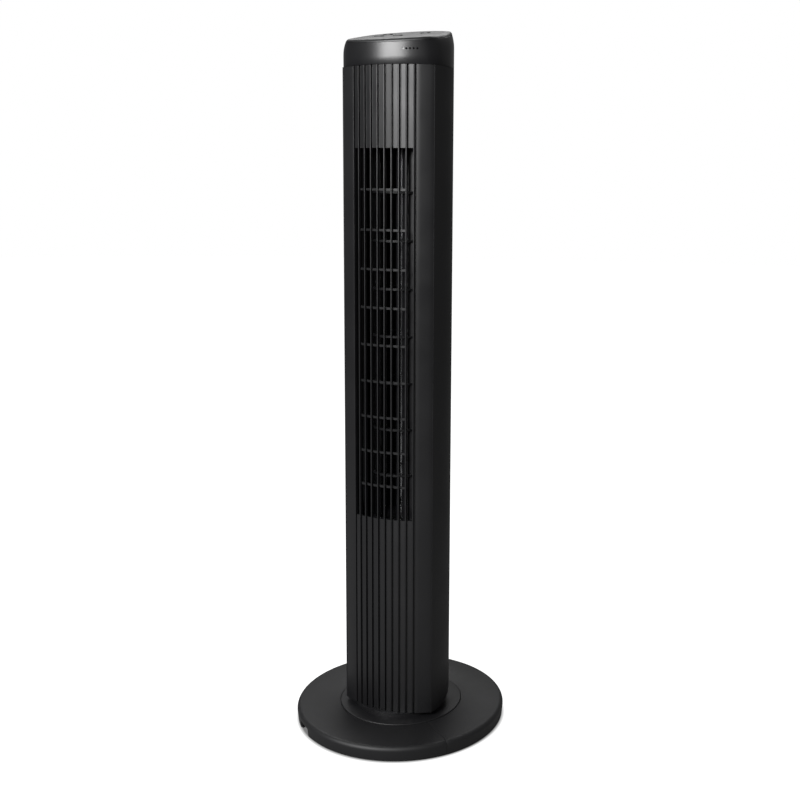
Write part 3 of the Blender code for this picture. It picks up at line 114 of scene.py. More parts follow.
class FanSizes(bpy.types.PropertyGroup):
    """Sizes of the pieces that the frame's boxes don't give."""

    widest_ahead: length("Widest line", "Distance of the column's widest line ahead of its axis", 0.0096)
    front_radius: length("Front radius", "Radius of the column's front in plan", 0.1333)
    wall: length("Wall", "Wall of the moulded shells", 0.0025)
    groove_pitch: length("Groove pitch", "Distance from one groove of the front to the next", 0.01037)
    groove_width: length("Groove width", "Width of a groove", 0.0026)
    fin_width: length("Fin width", "Width of the raised fin beside each groove", 0.0018)
    fin_proud: length("Fin height", "Height of a fin above its strip", 0.0008)
    strip_depth: length("Strip depth", "Depth of a groove under its strip", 0.0027)
    web_depth: length("Web depth", "Thickness of the plastic under a groove", 0.0008)
    strips: count("Strips", "Strips across the front", 9)
    bars: count("Bars", "Bars across the window", 9)
    bar_height: length("Bar height", "Height of a window bar", 0.0030)
    bar_crowd: length("Bar crowding", "How far the bars crowd towards the bottom", 0.0406)
    edge_soft: length("Edge rounding", "Rounding of the moulded edges of the front", 0.00045)
    slot_pitch: length("Slot pitch", "Distance between intake slots", 0.0094)
    slot_width: length("Slot width", "Width of an intake slot", 0.0056)
    slot_bridge: length("Slot bridge", "Plastic between two rows of slots", 0.0050)
    slot_columns: count("Slot columns", "Intake slots side by side", 11)
    slot_rows: count("Slot rows", "Rows of intake slots", 8)
    grille_low: length("Grille bottom", "Lowest line of the intake grille", 0.324)
    grille_high: length("Grille top", "Highest line of the intake grille", 0.814)
    grip_width: length("Grip width", "Width of the hand grip", 0.092)
    grip_height: length("Grip height", "Height of the hand grip", 0.030)
    tuck_height: length("Tuck height", "Height over which the housing draws in at its foot", 0.018)
    tuck_depth: length("Tuck depth", "How far the housing draws in at its foot", 0.004)
    head_corner: length("Head corner", "Reach of the head's rounded front corners", 0.011)
    shoulder_width: length("Shoulder width", "How far the head's sides roll in at the top", 0.0145)
    shoulder_drop: length("Shoulder height", "Height over which they roll in", 0.022)
    cover_thickness: length("Cover thickness", "Thickness of the sloping cover", 0.0040)
    button_length: length("Button length", "Length of a button", 0.0150)
    button_width: length("Button width", "Width of a button", 0.0085)
    button_proud: length("Button height", "Height of a button above the cover", 0.0006)
    button_flange: length("Button flange", "Thickness of the rim that holds a button in", 0.0012)
    lamp_radius: length("Lamp radius", "Radius of an indicator lamp", 0.0014)
    lamp_pitch: length("Lamp pitch", "Distance between lamps", 0.00457)
    lamps: count("Lamps", "Indicator lamps in the row", 5)
    rim_round: length("Rim rounding", "Rounding of the base's rim", 0.0062)
    rim_draft: length("Rim draft", "How much the rim draws in towards the floor", 0.0013)
    base_skin: length("Base skin", "Wall of the base", 0.0025)
    hub_ledge: length("Hub ledge", "Width of the shelf that carries the hub plate", 0.011)
    notch_width: length("Notch width", "Width of the cord notch", 0.029)
    notch_height: length("Notch height", "Height of the cord notch", 0.0115)
    blades: count("Blades", "Blades round the impeller", 28)
    sections: count("Sections", "Impeller sections between rings", 8)
    blade_depth: length("Blade depth", "Radial depth of a blade", 0.010)


class FanColours(bpy.types.PropertyGroup):
    """Colours of the finishes."""

    shell: colour("Shell", "Moulded shells", "0E0E10")
    panel: colour("Front", "Ribbed front panel", "0E0E10")
    head: colour("Head", "Head and cover", "0F0F11")
    inside: colour("Inside", "Impeller and guides", "111113")
    rubber: colour("Rubber", "Feet and gland", "121213")
    legend: colour("Legend", "Printed marks on the buttons", "9A9A9C")
    lens: colour("Lens", "Lamps and receiver", "08080A")
    steel: colour("Steel", "Plated steel", "B9BABC")
    nylon: colour("Nylon", "Gears and washer", "1A1A1C")
    bronze: colour("Bronze", "Bearing", "B08A4E")
    laminate: colour("Laminate", "Circuit board", "1E5A34")
    floor: colour("Floor", "Studio floor", "8C8C8C")


# ---------------------------------------------------------------- hand tools

def deselect():
    """Leave edit mode with nothing selected, so the next operator acts on its own piece."""
    if bpy.context.mode != "OBJECT":
        bpy.ops.object.mode_set(mode="OBJECT")
    bpy.ops.object.select_all(action="DESELECT")


def hold(piece):
    """Make one piece the only selected and the active one."""
    deselect()
    piece.select_set(True)
    bpy.context.view_layer.objects.active = piece


def edit(piece):
    hold(piece)
    bpy.ops.object.mode_set(mode="EDIT")


def pick(piece, test, kind="VERT"):
    """Select the corners, edges or faces that a test accepts; returns how many."""
    bpy.ops.mesh.select_all(action="DESELECT")
    bpy.ops.mesh.select_mode(type=kind)
    data = bmesh.from_edit_mesh(piece.data)
    items = {"VERT": data.verts, "EDGE": data.edges, "FACE": data.faces}[kind]
    found = 0
    for item in items:
        if test(item):
            item.select_set(True)
            found += 1
    data.select_flush_mode()
    bmesh.update_edit_mesh(piece.data)
    return found


def start_corner(name, first):
    """A plane merged to a single corner, from which outlines are extruded."""
    deselect()
    bpy.ops.mesh.primitive_plane_add(size=0.01, location=(0.0, 0.0, 0.0))
    piece = bpy.context.object
    piece.name = name
    bpy.ops.object.mode_set(mode="EDIT")
    bpy.ops.mesh.select_mode(type="VERT")
    bpy.ops.mesh.select_all(action="SELECT")
    bpy.ops.mesh.merge(type="CENTER")
    bpy.ops.transform.translate(value=first)
    return piece


def draw_line(name, points):
    """Extrude a corner from point to point; the piece stays in edit mode, all selected."""
    piece = start_corner(name, points[0])
    for near, far in zip(points, points[1:]):
        step = Vector(far) - Vector(near)
        bpy.ops.mesh.extrude_region_move(TRANSFORM_OT_translate={"value": step})
    bpy.ops.mesh.select_all(action="SELECT")
    return piece


def draw_face(name, points):
    """A flat face with the given outline; the piece stays in edit mode, all selected."""
    piece = draw_line(name, points)
    ends = (Vector(points[0]), Vector(points[-1]))
    pick(piece, lambda v: min((v.co - end).length for end in ends) < 1e-6)
    bpy.ops.mesh.edge_face_add()
    bpy.ops.mesh.select_all(action="SELECT")
    bpy.ops.mesh.edge_face_add()
    bpy.ops.mesh.select_all(action="SELECT")
    return piece


def extrude(step):
    bpy.ops.mesh.extrude_region_move(TRANSFORM_OT_translate={"value": step})


def turned(name, profile, steps, start=0.0, sweep=2 * math.pi, closed=True):
    """Turn a (radius, height) profile about Z, from a direction measured from -Y."""
    points = [(r * math.sin(start), -r * math.cos(start), z) for r, z in profile]
    if closed:
        points.append(points[0])
    piece = draw_line(name, points)
    bpy.ops.mesh.remove_doubles(threshold=1e-6)
    bpy.ops.mesh.spin(steps=steps, angle=-sweep, center=(0.0, 0.0, 0.0), axis=(0.0, 0.0, 1.0))
    bpy.ops.mesh.select_all(action="SELECT")
    bpy.ops.mesh.remove_doubles(threshold=1e-6)
    bpy.ops.mesh.fill_holes(sides=0)
    bpy.ops.mesh.delete_loose()
    face_outwards()
    return piece


def face_outwards():
    bpy.ops.mesh.select_all(action="SELECT")
    bpy.ops.mesh.normals_make_consistent(inside=False)


def smooth(piece, degrees=32.0):
    hold(piece)
    bpy.ops.object.shade_smooth_by_angle(angle=math.radians(degrees))


def modify(piece, kind, **settings):
    """Add a modifier, set it up and apply it."""
    hold(piece)
    made = piece.modifiers.new(kind.lower(), kind)
    for key, value in settings.items():
        setattr(made, key, value)
    bpy.ops.object.modifier_apply(modifier=made.name)


def cut(piece, tool, operation="DIFFERENCE"):
    """Cut a piece with a tool, or join the tool to it, and put the tool away."""
    deselect()
    modify(piece, "BOOLEAN", operation=operation, object=tool, solver="EXACT")
    bpy.data.objects.remove(tool, do_unlink=True)


def block(name, size, centre, turn=(0.0, 0.0, 0.0)):
    """A cube primitive at its size and place, with both applied to its mesh."""
    deselect()
    bpy.ops.mesh.primitive_cube_add(size=1.0, location=centre, rotation=turn)
    piece = bpy.context.object
    piece.name = name
    piece.scale = size
    bpy.ops.object.transform_apply(location=True, rotation=True, scale=True)
    return piece


def rod(name, radius, near, far, sides=32):
    """A cylinder primitive between two points, with its place applied to its mesh."""
    deselect()
    run = Vector(far) - Vector(near)
    middle = (Vector(far) + Vector(near)) / 2
    turn = run.to_track_quat("Z", "Y").to_euler()
    bpy.ops.mesh.primitive_cylinder_add(vertices=sides, radius=radius, depth=run.length,
                                        location=middle, rotation=turn)
    piece = bpy.context.object
    piece.name = name
    bpy.ops.object.transform_apply(location=True, rotation=True, scale=True)
    return piece


def place(piece, matrix):
    """Move a finished mesh to its place and leave the object at the origin."""
    hold(piece)
    piece.matrix_world = matrix
    bpy.ops.object.transform_apply(location=True, rotation=True, scale=True)
    return piece


def copy_piece(piece, name, matrix):
    """A copy with its own mesh, at its own place."""
    hold(piece)
    bpy.ops.object.duplicate(linked=False)
    made = bpy.context.object
    made.name = name
    return place(made, matrix)


def gather(pieces, name):
    """Join several pieces into one object."""
    hold(pieces[0])
    for piece in pieces[1:]:
        piece.select_set(True)
    bpy.ops.object.join()
    made = bpy.context.object
    made.name = name
    return made


def finish_piece(piece, slot, body, nodes, degrees=32.0):
    """Shade, colour and hand over a piece: its finish, its body and the nodes it stands for."""
    smooth(piece, degrees)
    piece.data.materials.clear()
    piece.data.materials.append(FINISHES[slot])
    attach(piece, body)
    if nodes:
        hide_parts(*nodes)
    return piece


# ---------------------------------------------------------------- plan of the column

def half_width():
    return HOUSING_HIGH.x


def front_centre(sizes):
    return sizes.front_radius + PANEL_LOW.y


def corner_turn(sizes, front_inset, side_inset):
    """Angle on the side circle, from -Y, where it meets the front arc."""
    side = half_width() - side_inset
    front = sizes.front_radius - front_inset
    apart = front_centre(sizes) + sizes.widest_ahead
    return math.acos((front ** 2 - side ** 2 - apart ** 2) / (2 * apart) / side)


def front_half_turn(sizes, front_inset, side_inset):
    x, _ = side_at(sizes, corner_turn(sizes, front_inset, side_inset), side_inset)
    return math.asin(x / (sizes.front_radius - front_inset))


def front_at(sizes, angle, inset):
    radius = sizes.front_radius - inset
    return (radius * math.sin(angle), front_centre(sizes) - radius * math.cos(angle))


def side_at(sizes, angle, inset):
    radius = half_width() - inset
    return (radius * math.sin(angle), -sizes.widest_ahead - radius * math.cos(angle))


def back_at(sizes, turn, inset):
    """Point on the back, from the right at turn 0 to the middle at a quarter turn."""
    power = 2 / 1.8
    width = half_width() - inset
    depth = HOUSING_HIGH.y + sizes.widest_ahead - inset
    return (width * math.cos(turn) ** power, -sizes.widest_ahead + depth * math.sin(turn) ** power)


def back_depth(sizes, x, inset=0.0):
    """How far back the housing reaches at a distance x from its middle plane."""
    share = abs(x) / (half_width() - inset)
    depth = HOUSING_HIGH.y + sizes.widest_ahead - inset
    return -sizes.widest_ahead + depth * (1 - share ** 1.8) ** (1 / 1.8)


def half_plan(sizes, side_inset, start, side_steps=8, back_steps=24):
    """Right half of the plan, from an angle on the side circle to the middle of the back."""
    points = []
    for i in range(side_steps):
        angle = start + (math.pi / 2 - start) * i / side_steps
        points.append(side_at(sizes, angle, side_inset))
    for i in range(back_steps + 1):
        points.append(back_at(sizes, math.pi / 2 * i / back_steps, side_inset))
    return points


def head_plan(sizes, front_inset, side_inset, front_steps=24, corner_steps=8):
    """Whole outline of the head, counter-clockwise, with rounded front corners."""
    corner = corner_turn(sizes, front_inset, side_inset)
    half = front_half_turn(sizes, front_inset, side_inset) - sizes.head_corner / sizes.front_radius
    start = corner + sizes.head_corner / half_width()
    front = [front_at(sizes, half * (2 * i / front_steps - 1), front_inset) for i in range(front_steps + 1)]
    knee = Vector(side_at(sizes, corner, side_inset))
    near = Vector(front[-1])
    far = Vector(side_at(sizes, start, side_inset))
    bend = []
    for i in range(1, corner_steps):
        t = i / corner_steps
        bend.append(tuple(near * (1 - t) ** 2 + knee * 2 * t * (1 - t) + far * t ** 2))
    right = bend + half_plan(sizes, side_inset, start)
    return front + right + [(-x, y) for x, y in reversed(right[:-1])]


def polar(radius, angle):
    """Point at a radius in a direction measured from -Y towards +X."""
    return (radius * math.sin(angle), -radius * math.cos(angle))


# ---------------------------------------------------------------- finishes

FINISHES = {}


def add_node(tree, kind, inputs=None, **settings):
    """Add a node, set its own settings, and set or link its inputs."""
    made = tree.nodes.new(kind)
    for key, value in settings.items():
        setattr(made, key, value)
    for key, value in (inputs or {}).items():
        if isinstance(value, bpy.types.NodeSocket):
            tree.links.new(value, made.inputs[key])
        else:
            made.inputs[key].default_value = value
    return made


def start_finish(name, tone, roughness, metallic=0.0, ior=1.5):
    """A material with its plain values set on the shader, and its surface coordinates."""
    material = bpy.data.materials.new(name)
    material.use_nodes = True
    tree = material.node_tree
    shader = tree.nodes["Principled BSDF"]
    shader.inputs["Base Color"].default_value = (*tone, 1.0)
    shader.inputs["Roughness"].default_value = roughness
    shader.inputs["Metallic"].default_value = metallic
    shader.inputs["IOR"].default_value = ior
    where = add_node(tree, "ShaderNodeTexCoord").outputs["Object"]
    return material, tree, shader, where


def per_metre(size):
    """Noise scale whose features are this size across, in metres."""
    return 1.0 / size


def vary_colour(tree, shader, tone, amount, size, where):
    """Let the colour drift between a lighter and a darker tone over a given distance."""
    cloud = add_node(tree, "ShaderNodeTexNoise", {"Vector": where, "Scale": per_metre(size), "Detail": 3.0})
    dark = tuple(c * (1 - amount) for c in tone)
    light = tuple(min(1.0, c * (1 + amount)) for c in tone)
    mix = add_node(tree, "ShaderNodeMix", {"Factor": cloud.outputs["Fac"]}, data_type="RGBA")
    mix.inputs[6].default_value = (*dark, 1.0)
    mix.inputs[7].default_value = (*light, 1.0)
    tree.links.new(mix.outputs[2], shader.inputs["Base Color"])


def vary_roughness(tree, shader, low, high, size, where):
    cloud = add_node(tree, "ShaderNodeTexNoise", {"Vector": where, "Scale": per_metre(size), "Detail": 2.0})
    span = add_node(tree, "ShaderNodeMapRange", {"Value": cloud.outputs["Fac"], "From Min": 0.35,
                                                 "From Max": 0.65, "To Min": low, "To Max": high})
    tree.links.new(span.outputs["Result"], shader.inputs["Roughness"])


def emboss(tree, shader, height, depth, strength):
    bump = add_node(tree, "ShaderNodeBump", {"Height": height, "Distance": depth, "Strength": strength})
    tree.links.new(bump.outputs["Normal"], shader.inputs["Normal"])


def moulded_abs(name, tone, roughness, grain, depth):
    """Injection-moulded ABS from a spark-eroded tool: an even matte grain that softens every
    reflection, with a faint drift in gloss where the melt cooled at different rates."""
    material, tree, shader, where = start_finish(name, tone, roughness, ior=1.53)
    vary_colour(tree, shader, tone, 0.10, 0.035, where)
    vary_roughness(tree, shader, roughness - 0.03, roughness + 0.04, 0.060, where)
    pits = add_node(tree, "ShaderNodeTexNoise", {"Vector": where, "Scale": per_metre(grain), "Detail": 2.0,
                                                 "Roughness": 0.6})
    emboss(tree, shader, pits.outputs["Fac"], depth, 0.5)
    return material


def moulded_rubber(name, tone):
    """Compression-moulded rubber: dull, with a dusty bloom in patches."""
    material, tree, shader, where = start_finish(name, tone, 0.80, ior=1.52)
    vary_colour(tree, shader, tone, 0.30, 0.008, where)
    grain = add_node(tree, "ShaderNodeTexNoise", {"Vector": where, "Scale": per_metre(0.0007)})
    emboss(tree, shader, grain.outputs["Fac"], 0.00005, 0.5)
    return material


def plated_steel(name, tone, roughness):
    """Zinc-plated steel: bright, with fine turning marks that stretch the highlights."""
    material, tree, shader, where = start_finish(name, tone, roughness, metallic=1.0)
    vary_colour(tree, shader, tone, 0.06, 0.004, where)
    stretched = add_node(tree, "ShaderNodeMapping", {"Vector": where, "Scale": (1.0, 1.0, 12.0)})
    marks = add_node(tree, "ShaderNodeTexNoise", {"Vector": stretched.outputs["Vector"],
                                                  "Scale": per_metre(0.0012), "Detail": 3.0})
    emboss(tree, shader, marks.outputs["Fac"], 0.00002, 0.4)
    return material


def sintered_bronze(name, tone):
    """Oil-filled sintered bronze: fine open pores and a brownish oil film."""
    material, tree, shader, where = start_finish(name, tone, 0.42, metallic=1.0)
    vary_colour(tree, shader, tone, 0.20, 0.002, where)
    pores = add_node(tree, "ShaderNodeTexVoronoi", {"Vector": where, "Scale": per_metre(0.0006)})
    emboss(tree, shader, pores.outputs["Distance"], 0.00004, 0.5)
    return material


def greased_nylon(name, tone):
    """Carbon-black nylon or acetal with a film of grease: smooth patches on a duller ground."""
    material, tree, shader, where = start_finish(name, tone, 0.38, ior=1.53)
    vary_colour(tree, shader, tone, 0.08, 0.010, where)
    vary_roughness(tree, shader, 0.26, 0.50, 0.012, where)
    return material


def dark_acrylic(name, tone):
    """Smoked acrylic: polished, so it shows small sharp reflections."""
    material, tree, shader, where = start_finish(name, tone, 0.08, ior=1.49)
    vary_roughness(tree, shader, 0.06, 0.12, 0.004, where)
    return material


def board_laminate(name, tone):
    """Solder-masked glass laminate: green gloss over the weave of the glass cloth."""
    material, tree, shader, where = start_finish(name, tone, 0.30, ior=1.5)
    vary_colour(tree, shader, tone, 0.15, 0.006, where)
    weave = add_node(tree, "ShaderNodeTexWave", {"Vector": where, "Scale": per_metre(0.0010) / 20},
                     wave_type="BANDS", bands_direction="DIAGONAL")
    emboss(tree, shader, weave.outputs["Fac"], 0.00002, 0.3)
    return material


def printed_ink(name, tone):
    """Pad-printed grey ink: flat and matte, a little uneven in cover."""
    material, tree, shader, where = start_finish(name, tone, 0.60, ior=1.48)
    vary_colour(tree, shader, tone, 0.12, 0.0015, where)
    return material


class FinishesOperator(bpy.types.Operator):
    """Make the finishes and give them to the frame's own nodes"""

    bl_idname = "tower_fan.finishes"
    bl_label = "Finishes"

    def execute(self, context):
        tones = context.scene.tower_fan_colours
        shell = moulded_abs("abs_moulded_fine_grain", tones.shell, 0.53, 0.0008, 0.000030)
        FINISHES["base_plastic"] = shell
        FINISHES["housing_plastic"] = shell
        for slot_name, title, tone, roughness, grain, depth in (
                ("hub_plastic", "abs_moulded_hub", tones.shell, 0.46, 0.0008, 0.000025),
                ("panel_plastic", "abs_moulded_ribbed", tones.panel, 0.40, 0.0008, 0.000020),
                ("head_plastic", "abs_moulded_satin", tones.head, 0.29, 0.0007, 0.000012),
                ("cover_plastic", "abs_moulded_cover", tones.head, 0.40, 0.0007, 0.000018),
                ("button_plastic", "abs_moulded_button", tones.head, 0.38, 0.0007, 0.000015),
                ("inner_plastic", "polypropylene_moulded", tones.inside, 0.36, 0.0010, 0.000015),
                ("plate_plastic", "nylon_glass_filled", tones.inside, 0.55, 0.0012, 0.000040)):
            FINISHES[slot_name] = moulded_abs(title, tone, roughness, grain, depth)
        FINISHES["foot_rubber"] = moulded_rubber("rubber_moulded_feet", tones.rubber)
        FINISHES["gland_rubber"] = moulded_rubber("rubber_moulded_gland", tones.rubber)
        FINISHES["screw_steel"] = plated_steel("steel_zinc_plated", tones.steel, 0.34)
        FINISHES["motor_steel"] = plated_steel("steel_plated_can", tones.steel, 0.40)
        FINISHES["retainer_steel"] = plated_steel("steel_stamped", tones.steel, 0.38)
        FINISHES["shaft_steel"] = plated_steel("steel_ground_bar", tones.steel, 0.22)
        FINISHES["bearing_bronze"] = sintered_bronze("bronze_sintered", tones.bronze)
        FINISHES["gear_nylon"] = greased_nylon("nylon_greased_gear", tones.nylon)
        FINISHES["washer_acetal"] = greased_nylon("acetal_greased_washer", tones.nylon)
        FINISHES["lamp_acrylic"] = dark_acrylic("acrylic_smoked", tones.lens)
        FINISHES["receiver_acrylic"] = dark_acrylic("acrylic_infrared_clear", tones.lens)
        FINISHES["board_laminate"] = board_laminate("laminate_solder_masked", tones.laminate)
        FINISHES["legend_ink"] = printed_ink("ink_pad_printed", tones.legend)
        for entry in frame["record"]["subparts"]:
            data = frame["nodes"][entry["node"]].data
            data.materials.clear()
            data.materials.append(FINISHES[entry["material_slot"]])
        return {"FINISHED"}


# ---------------------------------------------------------------- base

BASE_TURN = math.radians(-40.0)      # direction of the front cord notch, from -Y towards +X
HUB_TOP = BASE_HIGH.z + 0.0010


def base_profile(sizes):
    """Section of the base: flat skin, rolled rim and the shelf under the hub plate."""
    outer = BASE_RADIUS
    inner = HUB_RADIUS + RUN
    ledge = HUB_LOW.z - GAP
    skin = sizes.base_skin
    top = BASE_HIGH.z
    low = BASE_LOW.z
    steps = 12
    profile = [(outer - sizes.rim_draft, low)]
    for i in range(steps + 1):
        angle = math.pi / 2 * i / steps
        profile.append((outer - sizes.rim_round * (1 - math.cos(angle)),
                        top - sizes.rim_round * (1 - math.sin(angle))))
    soft = 0.0004
    profile += [(inner + soft, top), (inner + soft * 0.3, top - soft * 0.3), (inner, top - soft),
                (inner, ledge), (HUB_RADIUS - sizes.hub_ledge, ledge),
                (HUB_RADIUS - sizes.hub_ledge, ledge - skin), (inner + skin, ledge - skin),
                (inner + 2 * skin, top - skin), (outer - sizes.rim_round, top - skin),
                (outer - sizes.rim_draft - skin, top - sizes.rim_round),
                (outer - sizes.rim_draft - skin, low)]
    return profile



SEAM_ROUND = 0.0005                  # rounding along the seam between the two halves
NOTCH_ROUND = 0.003                  # corners of the cord notch
BASE_HOLE_RADIUS = 0.0019            # holes for the screws that hold the hub plate


def build_base_half(sizes, name, node, direction):
    """Half of the base with its ribs, foot bosses, cord notch and screw holes."""
    seam = GAP / 2 / BASE_RADIUS
    half = turned(name, base_profile(sizes), 60, direction - math.pi / 2 + seam, math.pi - 2 * seam)
    across = Vector((*polar(1.0, direction), 0.0))
    pick(half, lambda e: all(abs(v.co.dot(across)) < 2 * GAP and v.co.z > BASE_HIGH.z - 0.012
                             for v in e.verts)
         and e.calc_face_angle(0.0) > 1.0, "EDGE")
    bpy.ops.mesh.bevel(offset=SEAM_ROUND, segments=2)
    deselect()
    added = []
    inner = HUB_RADIUS + 1.5 * sizes.base_skin
    outer = BASE_RADIUS - sizes.rim_draft - sizes.base_skin / 2
    low = BASE_LOW.z + 0.003
    top = BASE_HIGH.z - sizes.base_skin / 2
    for i in range(8):
        angle = direction + math.pi / 8 * (i - 3.5)
        x, y = polar((inner + outer) / 2, angle)
        added.append(block("rib", (0.002, outer - inner, top - low), (x, y, (low + top) / 2),
                           (0.0, 0.0, angle)))
    for number in range(1, 9):
        low_corner, high_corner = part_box(f"foot_{number}")
        x, y = ((low_corner + high_corner) / 2)[:2]
        away = math.atan2(x, -y) - direction
        if math.cos(away) > 0:
            radius = (high_corner.x - low_corner.x) / 2 + 0.0015
            added.append(rod("boss", radius, (x, y, BASE_LOW.z), (x, y, top)))
    cut(half, gather(added, "ribs"), "UNION")
    x, y = polar(BASE_RADIUS, direction)
    notch = block("notch", (sizes.notch_width, 0.040, 0.020 + sizes.notch_height),
                  (x, y, BASE_LOW.z - 0.010 + sizes.notch_height / 2), (0.0, 0.0, direction))
    edit(notch)
    pick(notch, lambda e: abs((e.verts[0].co - e.verts[1].co).z) < 1e-6
         and (e.verts[0].co - e.verts[1].co).length > 0.035 and e.verts[0].co.z > 0.0, "EDGE")
    bpy.ops.mesh.bevel(offset=NOTCH_ROUND, segments=5)
    deselect()
    cut(half, notch)
    for side in (-1, 1):
        x, y = polar(HUB_RADIUS - sizes.hub_ledge / 2, direction + side * math.radians(45.0))
        cut(half, rod("hole", BASE_HOLE_RADIUS, (x, y, 0.0), (x, y, 0.03), 16))
    return finish_piece(half, "base_plastic", "base", [node])


class BaseOperator(bpy.types.Operator):
    """Model the two halves of the round base"""

    bl_idname = "tower_fan.base"
    bl_label = "Base"

    def execute(self, context):
        sizes = context.scene.tower_fan_sizes
        build_base_half(sizes, "base_front", "base_half_front", BASE_TURN)
        build_base_half(sizes, "base_rear", "base_half_rear", BASE_TURN + math.pi)
        return {"FINISHED"}


GLAND_DEPTH = 0.0065
GLAND_ROUND = 0.0008
CORD_BORE_RADIUS = 0.0036


class FeetOperator(bpy.types.Operator):
    """Model the rubber feet and the cord gland"""

    bl_idname = "tower_fan.feet"
    bl_label = "Feet and gland"

    def execute(self, context):
        low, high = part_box("foot_1")
        radius = (high.x - low.x) / 2
        soft = 0.0006
        profile = [(0.0, 0.0), (radius - soft, 0.0), (radius - soft * 0.3, soft * 0.3), (radius, soft),
                   (radius, high.z), (0.0, high.z)]
        master = turned("foot_master", profile, 36)
        deselect()
        for number in range(1, 9):
            low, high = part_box(f"foot_{number}")
            middle = (low + high) / 2
            spot = Matrix.Translation((middle.x, middle.y, 0.0))
            foot = copy_piece(master, f"rubber_foot_{number}", spot)
            finish_piece(foot, "foot_rubber", "base", [f"foot_{number}"])
        bpy.data.objects.remove(master, do_unlink=True)
        self.gland(context.scene.tower_fan_sizes)
        return {"FINISHED"}

    def gland(self, sizes):
        """Rubber bush that fills the rear notch round the cord's bore."""
        wall = BASE_RADIUS - sizes.rim_draft
        height = sizes.notch_height - GAP
        bush = block("rubber_gland", (sizes.notch_width - 2 * GAP, GLAND_DEPTH, height),
                     (0.0, 0.00275 - wall, BASE_LOW.z + height / 2))
        edit(bush)
        pick(bush, lambda e: e.verts[0].co.z > 0.008 or e.verts[1].co.z > 0.008, "EDGE")
        bpy.ops.mesh.bevel(offset=GLAND_ROUND, segments=3)
        deselect()
        middle = BASE_LOW.z + sizes.notch_height / 2
        cut(bush, rod("bore", CORD_BORE_RADIUS, (0.0, -wall - 0.02, middle), (0.0, 0.02 - wall, middle)))
        place(bush, Matrix.Rotation(BASE_TURN + math.pi, 4, "Z"))
        finish_piece(bush, "gland_rubber", "base", ["cord_gland"])


NECK_RADIUS = 0.027                  # hollow neck that turns inside the plate
HUB_ROUND = 0.0009                   # rounding of the plate's edge
HUB_ROUND_STEPS = 4
TRACK_WIDTH = 0.010                  # groove that the thrust washer runs in
PEG_INSIDE = 0.0375                  # the stop peg stands midway between this circle and the groove
PEG_RADIUS = 0.0025
PEG_ROOT = 0.001                     # how deep the peg is joined into the plate


class HubOperator(bpy.types.Operator):
    """Model the fixed hub plate that the column turns on"""

    bl_idname = "tower_fan.hub"
    bl_label = "Hub plate"

    def execute(self, context):
        washer_low, washer_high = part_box("thrust_washer")
        neck = NECK_RADIUS + RUN
        low = HUB_LOW.z
        soft = HUB_ROUND
        track_out = washer_high.x
        track_in = track_out - TRACK_WIDTH
        track = washer_low.z - GAP
        profile = [(neck, low), (HUB_RADIUS, low), (HUB_RADIUS, HUB_TOP - soft)]
        for i in range(1, HUB_ROUND_STEPS + 1):
            angle = math.pi / 2 * i / HUB_ROUND_STEPS
            profile.append((HUB_RADIUS - soft * (1 - math.cos(angle)),
                            HUB_TOP - soft * (1 - math.sin(angle))))
        profile += [(track_out, HUB_TOP), (track_out, track), (track_in, track), (track_in, HUB_TOP),
                    (neck, HUB_TOP)]
        plate = turned("hub_disc", profile, 96)
        deselect()
        peg_x, peg_y = polar((PEG_INSIDE + track_in) / 2, 0.0)
        root, tip = (peg_x, peg_y, HUB_TOP - PEG_ROOT), (peg_x, peg_y, HUB_HIGH.z)
        cut(plate, rod("peg", PEG_RADIUS, root, tip, 24), "UNION")
        finish_piece(plate, "hub_plastic", "base", ["hub_plate"])
        return {"FINISHED"}


# ---------------------------------------------------------------- column

WINDOW_LOW = IMPELLER_LOW.z + 0.009
WINDOW_HIGH = IMPELLER_HIGH.z - 0.009
WEB_LEDGE = 0.00012                  # sliver of web left along each fin


def bar_level(sizes, share):
    """Height of a bar, share 0 at the window's top and 1 at its bottom."""
    straight = WINDOW_HIGH + (WINDOW_LOW - WINDOW_HIGH) * share
    return straight - sizes.bar_crowd * share * (1 - share)


def strip_turns(sizes, number):
    """Angles on the front where a strip starts, where its fin starts and where the fin ends."""
    pitch = sizes.groove_pitch / sizes.front_radius
    start = pitch * (number - sizes.strips / 2) + sizes.groove_width / 2 / sizes.front_radius
    end = start + pitch - sizes.groove_width / sizes.front_radius
    return start, end - sizes.fin_width / sizes.front_radius, end


def panel_section(sizes):
    """Closed section of the front panel: borders, grooves, strips and fins, then the inside."""
    face = sizes.fin_proud
    floor = face + sizes.strip_depth
    inside = floor + sizes.web_depth
    edge = front_half_turn(sizes, 0.0, 0.0) - GAP / 2 / sizes.front_radius
    first = strip_turns(sizes, 0)[0] - sizes.groove_width / sizes.front_radius
    points = []
    steps = 4
    for i in range(steps + 1):
        points.append(front_at(sizes, -edge + (first + edge) * i / steps, face))
    points.append(front_at(sizes, first, floor))
    for number in range(sizes.strips):
        start, fin, end = strip_turns(sizes, number)
        points += [front_at(sizes, start, floor), front_at(sizes, start, face),
                   front_at(sizes, fin, face), front_at(sizes, fin, 0.0),
                   front_at(sizes, end, 0.0), front_at(sizes, end, floor)]
    last = end + sizes.groove_width / sizes.front_radius
    points.append(front_at(sizes, last, floor))
    for i in range(steps + 1):
        points.append(front_at(sizes, last + (edge - last) * i / steps, face))
    across = 18
    inner_edge = edge - sizes.wall / sizes.front_radius
    for i in range(across + 1):
        points.append(front_at(sizes, inner_edge * (1 - 2 * i / across), inside))
    return points


